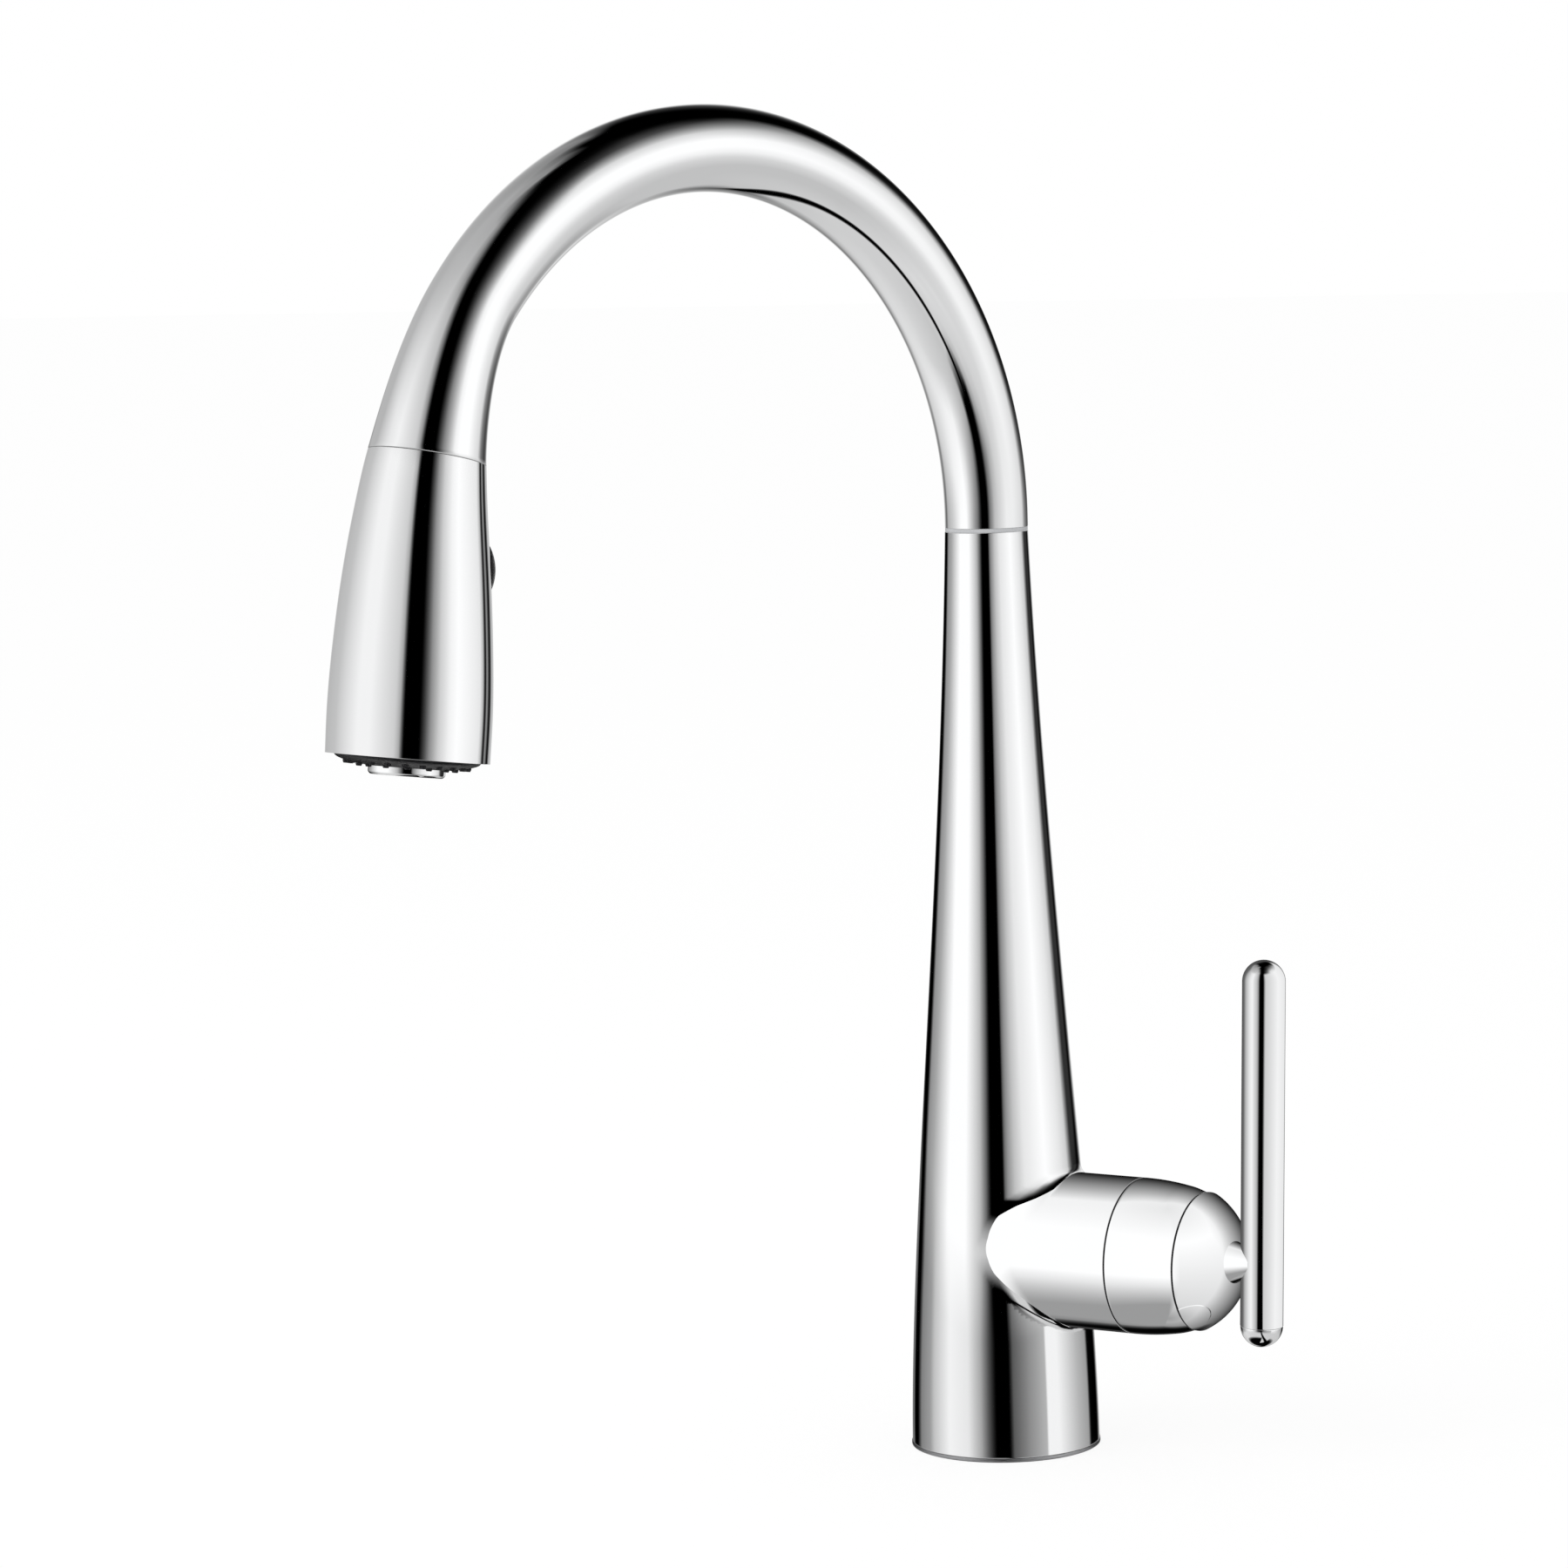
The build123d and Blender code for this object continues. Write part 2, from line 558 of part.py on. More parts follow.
def pull_hose_upper():
    """The hose from the swivel plane over the arch to its ferrule in the spray head."""
    ahead = heading(ARCH_TILT, 1)
    down = heading(MOUTH_TILT, 1)
    gap = Vector(*MOUTH) - ARCH_END
    run = (gap.X * down.Y - gap.Y * down.X) / (ahead.X * down.Y - ahead.Y * down.X)
    turn = ARCH_TILT - MOUTH_TILT
    bend_r = run / tan(radians(turn / 2))
    riser = Line((0, HOSE_SPLIT_Z + 0.02), (0, ARCH_Z))
    arch = CenterArc((ARCH_R, ARCH_Z), ARCH_R, 180, -ARCH_SWEEP)
    bend = JernArc(ARCH_END, ahead, bend_r, -turn)
    tail = Line(bend @ 1, Vector(*MOUTH) - heading(MOUTH_TILT, HOSE_END + 0.05))
    path = SPOUT_PLANE * (riser + arch + bend + tail)
    return sweep(Plane((0, 0, HOSE_SPLIT_Z + 0.02)) * Circle(HOSE_R), path=path)


def hose_connector():
    """The crimped sleeve and quick-connect socket on the lower end of the hose."""
    sleeve = tube(6.8, HOSE_R, HOSE_LOW_Z, -66.0)
    socket = hexagon(12.0, -84, HOSE_LOW_Z) + rod(5.6, -94, -84) - rod(3.2, -95, HOSE_LOW_Z)
    return Pos(HOSE_SHANK_X, 0, 0) * (sleeve + socket)


def hose_ferrule():
    """The threaded ferrule on the upper end of the hose, in the spray head."""
    body = tube(FERRULE_R, 3.4, -16.0, HOSE_END)
    for height in (-4.0, -1.0, 2.0):
        body -= tube(FERRULE_R + 1, FERRULE_R - 0.4, height, height + 1.2)
    return DOCK * body, DOCK * tube(6.9, 3.4, -17.0, -16.0)


# ---------------------------------------------------------------- spray head
def head_solid(inset):
    """The head's round form, inset from its outside and cut off by the face's plane."""
    body = lofted(head_axis(), HEAD_STATION, [radius - inset for radius in HEAD_R])
    body += HEAD * rod(HEAD_R[-1] - inset, -TRIM_ALLOWANCE, 0)
    return body - FACE * rod(2 * HEAD_R[-1], -2 * HEAD_R[-1], 0)


def button_slot(x_radius, y_radius, low, high):
    """An oval prism square to the head at the button."""
    return BUTTON * extrude(Pos(0, 0, low) * Ellipse(x_radius, y_radius), high - low)


WATERWAY_R = 3.2
PLATE_R = 18.95
PLATE_BACK = 2.5
BUTTON_X = 7.4
BUTTON_Y = 6.5
BUTTON_CROWN = 13.3
BUTTON_PEAK = 20.6
SPOOL_R = 2.5
POCKET_FLOOR = 10.5
BUTTON_BACK = 13.2


def spray_shell(cavity):
    """The chromed shell of the spray head, open at both ends and slotted for the button."""
    return head_solid(0.0) - cavity - button_slot(BUTTON_X + 0.3, BUTTON_Y + 0.3, 12, 24)


def dock_collar(cavity):
    """The collar that plugs into the dock, with the flange that closes the shell's top."""
    flange = cavity & DOCK * rod(MOUTH_R, -6, -0.1)
    return flange + DOCK * rod(COLLAR_R, -6, COLLAR_H) - DOCK * rod(FERRULE_R + 0.3, -7, COLLAR_H + 1)


def spray_core(cavity):
    """The plastic waterway: skirt, chamber, spool bore and the threaded neck for the hose."""
    core = cavity & FACE * rod(20.0, 3.6, 6.6)
    core += HEAD * rod(15.0, 5.5, 54)
    core += DOCK * rod(10.4, -25, -6)
    core -= FACE * rod(AERATOR_BORE_R, 3, 7)
    core -= HEAD * rod(AERATOR_BORE_R - 0.4, 5, 40)
    core -= DOCK * rod(WATERWAY_R, -45, -16)
    core -= DOCK * rod(FERRULE_R, -17, -5)
    core -= BUTTON * rod(9.0, POCKET_FLOOR, 22)
    core -= BUTTON * rod(SPOOL_R + RUNNING, -7.5, 22)
    return core


def check_valve():
    """The non-return valve in the waterway under the hose."""
    return DOCK * tube(WATERWAY_R, 1.6, -22, -18)


def toggle():
    """The crowned oval button with its retaining skirt, and the diverter spool behind it."""
    cap = button_slot(BUTTON_X, BUTTON_Y, BUTTON_BACK, 24)
    cap = cap & BUTTON * Pos(0, 0, BUTTON_PEAK - BUTTON_CROWN) * Sphere(BUTTON_CROWN)
    skirt = button_slot(BUTTON_X + 0.9, BUTTON_Y + 0.9, BUTTON_BACK, BUTTON_BACK + 1.0)
    spool = turned((0, -5), (SPOOL_R, -5), (SPOOL_R, -2), (1.4, -2), (1.4, 2), (SPOOL_R, 2),
                   (SPOOL_R, BUTTON_BACK), (0, BUTTON_BACK))
    return cap + skirt, BUTTON * spool


def button_spring():
    """The return coil around the spool, between the core and the button."""
    wire = 0.4
    coil = Helix(pitch=0.8, height=BUTTON_BACK - POCKET_FLOOR - 2 * wire, radius=3.7)
    start = Plane(origin=coil @ 0, z_dir=coil % 0)
    return BUTTON * Pos(0, 0, POCKET_FLOOR + wire) * sweep(start * RegularPolygon(wire, 6), path=coil)


NOZZLE_RINGS = ((22, 15.8, -2.3), (14, 12.7, -2.8))
NOZZLE_R = 0.9


def face_plate():
    """The bulging black face with its nozzle holes."""
    bulge = Bezier((PLATE_R, -0.1), (18.6, -0.9), (16.5, -1.7), (AERATOR_R + 0.2, -2.45))
    outline = [bulge, Polyline(bulge @ 1, (AERATOR_R + 0.2, PLATE_BACK), (PLATE_R, PLATE_BACK), bulge @ 0)]
    plate = revolve(Plane.XZ * make_face(outline), Axis.Z)
    for count, radius, _ in NOZZLE_RINGS:
        plate -= ring_of(rod(NOZZLE_R + 0.05, -4, 4), count, radius)
    return FACE * plate


def spray_nozzles():
    """The rubber mat whose nubs stand through the face plate."""
    mat = tube(17.6, AERATOR_R + 0.4, PLATE_BACK, 3.6)
    for count, radius, tip in NOZZLE_RINGS:
        nub = turned((0, tip), (NOZZLE_R * 0.7, tip), (NOZZLE_R, tip + 0.5), (NOZZLE_R, 2.6), (0, 2.6))
        mat += ring_of(nub, count, radius)
    return FACE * mat


def aerator():
    """The chromed aerator ring and its perforated screen."""
    ring = turned((8.4, -4.6), (9.3, -4.6), (AERATOR_R, -3.9), (AERATOR_R, 3.6), (8.4, 3.6))
    screen = rod(8.4, -3.4, -2.6)
    for count, radius in ((1, 0.0), (6, 2.9), (12, 5.8)):
        screen -= ring_of(rod(0.85, -5, 0), count, radius)
    return FACE * ring, FACE * screen


# ---------------------------------------------------------------- assembly
def build():
    """Every named piece of the tap."""
    bore = arch_body(TUBE_BORE_R, 1.6)
    cavity = head_solid(HEAD_WALL)
    pieces = {"body_column": body_column(), "shank": shank()}
    pieces["trim_ring"], pieces["deck_gasket"] = trim_and_gasket()
    clamp = ("clamp_gasket", "clamp_washer", "mounting_nut", "jack_screws")
    pieces.update(zip(clamp, deck_clamp()))
    pieces["valve_manifold"] = valve_manifold()
    for name in ("hot_inlet", "cold_inlet"):
        pieces[name + "_tube"] = water_tube(name, INLET_END_Z)
        pieces[name + "_fitting"] = inlet_fitting(name)
    pieces["outlet_tube"] = outlet_tube()
    pieces["cartridge_housing"] = cartridge_shell()
    pieces["cartridge_base"], pieces["port_seals"] = cartridge_base()
    pieces["fixed_disc"], pieces["moving_disc"] = ceramic_discs()
    pieces["disc_carrier"] = disc_carrier()
    pieces["cartridge_rotor"], pieces["lever_pin"] = cartridge_rotor()
    pieces["cartridge_nut"] = cartridge_nut()
    pieces["bonnet_ring"] = bonnet_ring()
    pieces["lever_stem"] = lever_stem()
    pieces["handle_dome"] = handle_dome()
    pieces["handle_screw"] = handle_screw()
    pieces["screw_plug"] = screw_plug()
    pieces["handle_bar"], pieces["bar_foot"], pieces["handle_neck"] = handle_bar()
    pieces["upper_bush"], pieces["lower_bush"] = swivel_bushes()
    pieces["swivel_ring"] = swivel_ring()
    pieces["spout_spigot"] = spout_spigot()
    pieces["spigot_o_rings"] = spigot_rings()
    pieces["retaining_clip"] = retaining_clip()
    pieces["spout_tube"] = spout_tube(bore)
    pieces["dock_insert"] = dock_insert(bore)
    pieces["pull_hose_lower"] = pull_hose_lower()
    pieces["pull_hose_upper"] = pull_hose_upper()
    pieces["hose_connector"] = hose_connector()
    pieces["hose_ferrule"], pieces["hose_washer"] = hose_ferrule()
    pieces["spray_shell"] = spray_shell(cavity)
    pieces["dock_collar"] = dock_collar(cavity)
    pieces["spray_core"] = spray_core(cavity)
    pieces["check_valve"] = check_valve()
    pieces["toggle_button"], pieces["diverter_spool"] = toggle()
    pieces["button_spring"] = button_spring()
    pieces["face_plate"] = face_plate()
    pieces["spray_nozzles"] = spray_nozzles()
    pieces["aerator_ring"], pieces["aerator_screen"] = aerator()
    return pieces


def write(pieces):
    """One STEP file per piece, named after it."""
    os.makedirs("parts", exist_ok=True)
    for name, shape in pieces.items():
        items = shape if isinstance(shape, list) else [shape]
        solids = [solid for item in items for solid in item.solids()]
        export_step(solids[0] if len(solids) == 1 else Compound(solids), f"parts/{name}.step")


write(build())
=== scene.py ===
import json
import logging
import math
from abc import ABC, abstractmethod
from collections.abc import Callable, Iterable, Sequence
from dataclasses import dataclass, field
from enum import Enum

import bmesh
import bpy
import numpy as np
from mathutils import Matrix, Vector

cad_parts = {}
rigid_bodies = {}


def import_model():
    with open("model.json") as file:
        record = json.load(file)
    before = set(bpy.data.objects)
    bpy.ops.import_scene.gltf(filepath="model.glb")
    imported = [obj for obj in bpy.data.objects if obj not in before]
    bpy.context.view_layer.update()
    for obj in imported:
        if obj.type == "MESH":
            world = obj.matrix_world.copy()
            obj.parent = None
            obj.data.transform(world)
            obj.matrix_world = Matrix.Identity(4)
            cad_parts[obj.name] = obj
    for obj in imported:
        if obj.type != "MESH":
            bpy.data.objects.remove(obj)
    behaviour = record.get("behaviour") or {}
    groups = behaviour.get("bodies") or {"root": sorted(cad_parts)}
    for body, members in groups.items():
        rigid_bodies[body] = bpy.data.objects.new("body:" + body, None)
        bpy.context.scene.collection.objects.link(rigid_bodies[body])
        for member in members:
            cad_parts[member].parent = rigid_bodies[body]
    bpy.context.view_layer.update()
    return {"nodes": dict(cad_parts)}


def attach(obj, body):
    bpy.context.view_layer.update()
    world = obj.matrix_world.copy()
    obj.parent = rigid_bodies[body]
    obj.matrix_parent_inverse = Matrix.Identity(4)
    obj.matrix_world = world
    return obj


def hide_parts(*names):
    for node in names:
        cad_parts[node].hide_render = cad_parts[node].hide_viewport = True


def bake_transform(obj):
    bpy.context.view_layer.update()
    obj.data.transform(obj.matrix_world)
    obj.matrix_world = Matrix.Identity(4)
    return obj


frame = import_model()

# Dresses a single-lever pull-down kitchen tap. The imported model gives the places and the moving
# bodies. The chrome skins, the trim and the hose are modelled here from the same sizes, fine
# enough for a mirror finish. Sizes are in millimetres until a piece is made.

MM = 0.001
ROUND = 160
log = logging.getLogger("tap")

Pair = tuple[float, float]
Colour = tuple[float, float, float]


class Body(Enum):
    """The bodies that carry the pieces modelled here."""

    ROOT = "root"
    HANDLE = "handle"
    SPOUT = "spout"
    HEAD = "spray_head"
    TOGGLE = "toggle"


class Slot(Enum):
    """The record's material slots."""

    CHROME = "polished_chrome"
    BRASS = "brass"
    COPPER = "copper"
    STEEL = "steel"
    RUBBER = "black_rubber"
    ACETAL = "grey_acetal"
    VALVE_PLASTIC = "valve_plastic"
    ALUMINA = "alumina"
    BLACK_PLASTIC = "black_plastic"
    SILICONE = "black_silicone"
    WATERWAY = "waterway_plastic"
    BRAID = "braided_hose"


# ---------------------------------------------------------------- places


@dataclass(frozen=True)
class SpoutPlane:
    """The upright plane that holds the gooseneck, turned a little from straight ahead.

    Points in it are (distance from the column's axis, height).
    """

    swing: float = -15.0

    def ahead(self) -> Vector:
        """The level direction from the column towards the spray head."""
        turn = math.radians(self.swing)
        return Vector((math.sin(turn), -math.cos(turn), 0.0))

    def side(self) -> Vector:
        """The level direction square to the plane."""
        return self.ahead().cross(Vector((0, 0, 1)))

    def place(self, point: Sequence[float]) -> Vector:
        """A point of the plane in the row frame.

        Args:
            point: Distance out and height, in mm.

        Returns:
            The point in mm.
        """
        return self.ahead() * point[0] + Vector((0, 0, point[1]))

    def square_to(self, point: Sequence[float], along: Sequence[float]) -> Matrix:
        """A frame with its Z along a direction of the plane and its X square to the plane.

        Args:
            point: Origin in the plane, in mm.
            along: Direction in the plane.

        Returns:
            The frame's matrix, in mm.
        """
        z = (self.ahead() * along[0] + Vector((0, 0, along[1]))).normalized()
        x = self.side()
        return frame_matrix(self.place(point), x, z.cross(x), z)

    def tilted(self, point: Pair, tilt: float) -> Matrix:
        """A frame whose Z points back up an axis that leans outwards going down.

        Args:
            point: Origin in the plane, in mm.
            tilt: Lean from the vertical, in degrees.

        Returns:
            The frame's matrix, in mm, with X away from the column.
        """
        lean = math.radians(tilt)
        z = Vector((0, 0, 1)) * math.cos(lean) - self.ahead() * math.sin(lean)
        x = self.ahead() * math.cos(lean) + Vector((0, 0, 1)) * math.sin(lean)
        return frame_matrix(self.place(point), x, z.cross(x), z)


def frame_matrix(origin: Vector, x: Vector, y: Vector, z: Vector) -> Matrix:
    """A matrix from an origin and three axes.

    Args:
        origin: Where the frame stands.
        x: First axis.
        y: Second axis.
        z: Third axis.

    Returns:
        The 4 by 4 matrix.
    """
    columns = [list(axis) + [0.0] for axis in (x, y, z)] + [list(origin) + [1.0]]
    return Matrix(columns).transposed()


def heading(tilt: float, length: float = 1.0) -> np.ndarray:
    """A step down an axis that leans outwards, in the spout's plane.

    Args:
        tilt: Lean from the vertical, in degrees.
        length: Length of the step.

    Returns:
        The step as (out, up).
    """
    lean = math.radians(tilt)
    return np.array([math.sin(lean), -math.cos(lean)]) * length


@dataclass(frozen=True)
class Bezier:
    """A cubic curve in a plane."""

    points: tuple[Sequence[float], ...]

    def at(self, t: float) -> np.ndarray:
        """The point at a parameter.

        Args:
            t: The parameter, from 0 to 1.

        Returns:
            The point.
        """
        p = np.array(self.points, float)
        u = 1 - t
        return u ** 3 * p[0] + 3 * u * u * t * p[1] + 3 * u * t * t * p[2] + t ** 3 * p[3]

    def along(self, t: float) -> np.ndarray:
        """The unit direction at a parameter.

        Args:
            t: The parameter, from 0 to 1.

        Returns:
            The direction.
        """
        p = np.array(self.points, float)
        u = 1 - t
        d = u * u * (p[1] - p[0]) + 2 * u * t * (p[2] - p[1]) + t * t * (p[3] - p[2])
        return d / np.linalg.norm(d)


@dataclass(frozen=True)
class SmoothTable:
    """A natural cubic spline through a few stations, for radii that vary along an axis."""

    stations: tuple[float, ...]
    values: tuple[float, ...]

    def curvature(self) -> np.ndarray:
        """The second derivative at each station.

        Returns:
            One number for each station.
        """
        x, y = np.array(self.stations), np.array(self.values)
        h = np.diff(x)
        n = len(x)
        lhs, rhs = np.eye(n), np.zeros(n)
        for i in range(1, n - 1):
            lhs[i, i - 1:i + 2] = h[i - 1], 2 * (h[i - 1] + h[i]), h[i]
            rhs[i] = 6 * ((y[i + 1] - y[i]) / h[i] - (y[i] - y[i - 1]) / h[i - 1])
        return np.linalg.solve(lhs, rhs)

    def at(self, t: float) -> float:
        """The value at a place along the axis.

        Args:
            t: The place.

        Returns:
            The value.
        """
        x, y, m = np.array(self.stations), np.array(self.values), self.curvature()
        i = int(np.clip(np.searchsorted(x, t) - 1, 0, len(x) - 2))
        h = x[i + 1] - x[i]
        a, b = (x[i + 1] - t) / h, (t - x[i]) / h
        bend = ((a ** 3 - a) * m[i] + (b ** 3 - b) * m[i + 1]) * h * h / 6
        return float(a * y[i] + b * y[i + 1] + bend)


# ---------------------------------------------------------------- making meshes


def turned(outline: Sequence[Pair], place: Matrix = Matrix(), steps: int = ROUND) -> bmesh.types.BMesh:
    """Spins a closed outline of (radius, height) corners round its own Z.

    Args:
        outline: Corners in order, in mm. Those on the axis have radius 0.
        place: Frame in which the piece stands.
        steps: Number of facets round.

    Returns:
        The new mesh, closed, with its faces outwards.
    """
    bm = bmesh.new()
    verts = [bm.verts.new((r, 0.0, z)) for r, z in outline]
    edges = []
    for i, start in enumerate(verts):
        end = verts[(i + 1) % len(verts)]
        if outline[i][0] > 0 or outline[(i + 1) % len(verts)][0] > 0:
            edges.append(bm.edges.new((start, end)))
    bmesh.ops.spin(bm, geom=verts + edges, cent=(0, 0, 0), axis=(0, 0, 1), dvec=(0, 0, 0),
                   angle=math.tau, steps=steps, use_merge=True)
    bmesh.ops.remove_doubles(bm, verts=bm.verts, dist=1e-5)
    bmesh.ops.recalc_face_normals(bm, faces=bm.faces)
    bmesh.ops.transform(bm, matrix=place, verts=bm.verts)
    return bm


def arc(radius: float, start: float, end: float, centre: float = 0.0, steps: int = 40) -> list[Pair]:
    """Corners along an arc about a point on the axis.

    Args:
        radius: Radius of the arc, in mm.
        start: First angle above the level, in degrees.
        end: Last angle, in degrees.
        centre: Height of the centre, in mm.
        steps: Number of chords.

    Returns:
        The (radius, height) corners.
    """
    angles = np.radians(np.linspace(start, end, steps + 1))
    return [(max(radius * math.cos(a), 0.0) if abs(math.cos(a)) > 1e-9 else 0.0,
             centre + radius * math.sin(a)) for a in angles]


@dataclass(frozen=True)
class Ring:
    """One station of a swept skin: where it stands and its radius in mm."""

    place: Matrix
    radius: float

    def matrix(self) -> Matrix:
        """The matrix that puts a unit circle on the station."""
        return self.place @ Matrix.Diagonal((self.radius, self.radius, 1.0, 1.0))


def swept(rings: Sequence[Ring], closed: bool = True, steps: int = ROUND) -> bmesh.types.BMesh:
    """Draws a circle along stations, extruding one strip at a time.

    Args:
        rings: The stations in order.
        closed: Joins the last station to the first, for a wall with an inside.
        steps: Number of facets round.

    Returns:
        The new mesh.
    """
    bm = bmesh.new()
    bmesh.ops.create_circle(bm, cap_ends=False, radius=1.0, segments=steps)
    bmesh.ops.transform(bm, matrix=rings[0].matrix(), verts=bm.verts)
    edges = list(bm.edges)
    stations = list(rings[1:]) + ([rings[0]] if closed else [])
    last = rings[0]
    for ring in stations:
        made = bmesh.ops.extrude_edge_only(bm, edges=edges)["geom"]
        verts = [g for g in made if isinstance(g, bmesh.types.BMVert)]
        edges = [g for g in made if isinstance(g, bmesh.types.BMEdge)]
        step = ring.matrix() @ last.matrix().inverted()
        bmesh.ops.transform(bm, matrix=step, verts=verts)
        last = ring
    bmesh.ops.remove_doubles(bm, verts=bm.verts, dist=1e-5)
    bmesh.ops.recalc_face_normals(bm, faces=bm.faces)
    return bm


def soften(bm: bmesh.types.BMesh, width: float, segments: int = 2, angle: float = 38.0) -> None:
    """Rounds every edge sharper than an angle.

    Args:
        bm: The mesh.
        width: Width of the rounding, in mm.
        segments: Strips across it.
        angle: Least angle between the faces, in degrees.
    """
    limit = math.radians(angle)
    sharp = [e for e in bm.edges if e.is_manifold and e.calc_face_angle(0.0) > limit]
    bmesh.ops.bevel(bm, geom=sharp, offset=width, offset_type="OFFSET", segments=segments,
                    profile=0.5, affect="EDGES", clamp_overlap=True, material=-1)


def cut_away(bm: bmesh.types.BMesh, point: Vector, normal: Vector) -> list[bmesh.types.BMEdge]:
    """Cuts a mesh with a plane and drops what lies on the side its normal points to.

    Args:
        bm: The mesh.
        point: A point of the plane, in mm.
        normal: The plane's normal.

    Returns:
        The edges along the cut.
    """
    geom = list(bm.verts) + list(bm.edges) + list(bm.faces)
    made = bmesh.ops.bisect_plane(bm, geom=geom, dist=1e-6, plane_co=point, plane_no=normal,
                                  clear_outer=True)["geom_cut"]
    return [g for g in made if isinstance(g, bmesh.types.BMEdge)]


def prism(x_radius: float, y_radius: float, low: float, high: float, place: Matrix,
          steps: int = 96) -> bmesh.types.BMesh:
    """A closed oval prism.

    Args:
        x_radius: Half width along X, in mm.
        y_radius: Half width along Y, in mm.
        low: Lower end.
        high: Upper end.
        place: Frame in which it stands.
        steps: Number of facets round.

    Returns:
        The new mesh.
    """
    bm = bmesh.new()
    bmesh.ops.create_cone(bm, cap_ends=True, segments=steps, radius1=1.0, radius2=1.0, depth=1.0)
    size = Matrix.Diagonal((x_radius, y_radius, high - low, 1.0))
    shift = Matrix.Translation((0, 0, (low + high) / 2))
    bmesh.ops.transform(bm, matrix=place @ shift @ size, verts=bm.verts)
    return bm


def to_object(bm: bmesh.types.BMesh, name: str) -> bpy.types.Object:
    """Turns a mesh in mm into an object in metres at the origin.

    Args:
        bm: The mesh, which is freed.
        name: The piece's name.

    Returns:
        The new object.
    """
    bmesh.ops.transform(bm, matrix=Matrix.Scale(MM, 4), verts=bm.verts)
    mesh = bpy.data.meshes.new(name)
    bm.to_mesh(mesh)
    bm.free()
    piece = bpy.data.objects.new(name, mesh)
    bpy.context.scene.collection.objects.link(piece)
    return piece


def applied(piece: bpy.types.Object) -> None:
    """Bakes an object's modifiers into its mesh.

    Args:
        piece: The object.
    """
    graph = bpy.context.evaluated_depsgraph_get()
    graph.update()
    baked = bpy.data.meshes.new_from_object(piece.evaluated_get(graph))
    piece.modifiers.clear()
    old, piece.data = piece.data, baked
    bpy.data.meshes.remove(old)


def combined(piece: bpy.types.Object, tool: bmesh.types.BMesh, operation: str) -> None:
    """Cuts a piece with a second mesh, or keeps what both share.

    Args:
        piece: The piece to change.
        tool: The second mesh, in mm, which is freed.
        operation: DIFFERENCE or INTERSECT.
    """
    cutter = to_object(tool, "cutter")
    modifier = piece.modifiers.new("cut", "BOOLEAN")
    modifier.operation = operation
    modifier.solver = "EXACT"
    modifier.object = cutter
    applied(piece)
    bpy.data.objects.remove(cutter)


def smooth(piece: bpy.types.Object, angle: float = 32.0) -> None:
    """Shades a piece smooth except across edges sharper than an angle.

    Args:
        piece: The piece.
        angle: The angle in degrees.
    """
    piece.data.shade_smooth()
    piece.data.set_sharp_from_angle(angle=math.radians(angle))


def true_normals(piece: bpy.types.Object, normal_at: Callable[[np.ndarray], np.ndarray],
                 agree: float = 14.0) -> None:
    """Gives the skin of a piece the exact normals of the form it follows.

    Args:
        piece: The piece, already shaded smooth.
        normal_at: Unit normals of the form at an array of points in mm.
        agree: Corners further from the form's normal than this, in degrees, keep their own.
    """
    mesh = piece.data
    points = np.empty(len(mesh.vertices) * 3)
    mesh.vertices.foreach_get("co", points)
    wanted = normal_at(points.reshape(-1, 3) / MM)
    corner_vert = np.empty(len(mesh.loops), int)
    mesh.loops.foreach_get("vertex_index", corner_vert)
    own = np.empty(len(mesh.loops) * 3)
    mesh.corner_normals.foreach_get("vector", own)
    own = own.reshape(-1, 3)
    sizes, flat = np.empty(len(mesh.polygons), int), np.empty(len(mesh.polygons) * 3)
    mesh.polygons.foreach_get("loop_total", sizes)
    mesh.polygons.foreach_get("normal", flat)
    faces = np.repeat(flat.reshape(-1, 3), sizes, axis=0)
    form = wanted[corner_vert]
    follows = (faces * form).sum(1) > math.cos(math.radians(agree))
    own[follows] = form[follows]
    mesh.normals_split_custom_set(own.tolist())


# ---------------------------------------------------------------- finishes


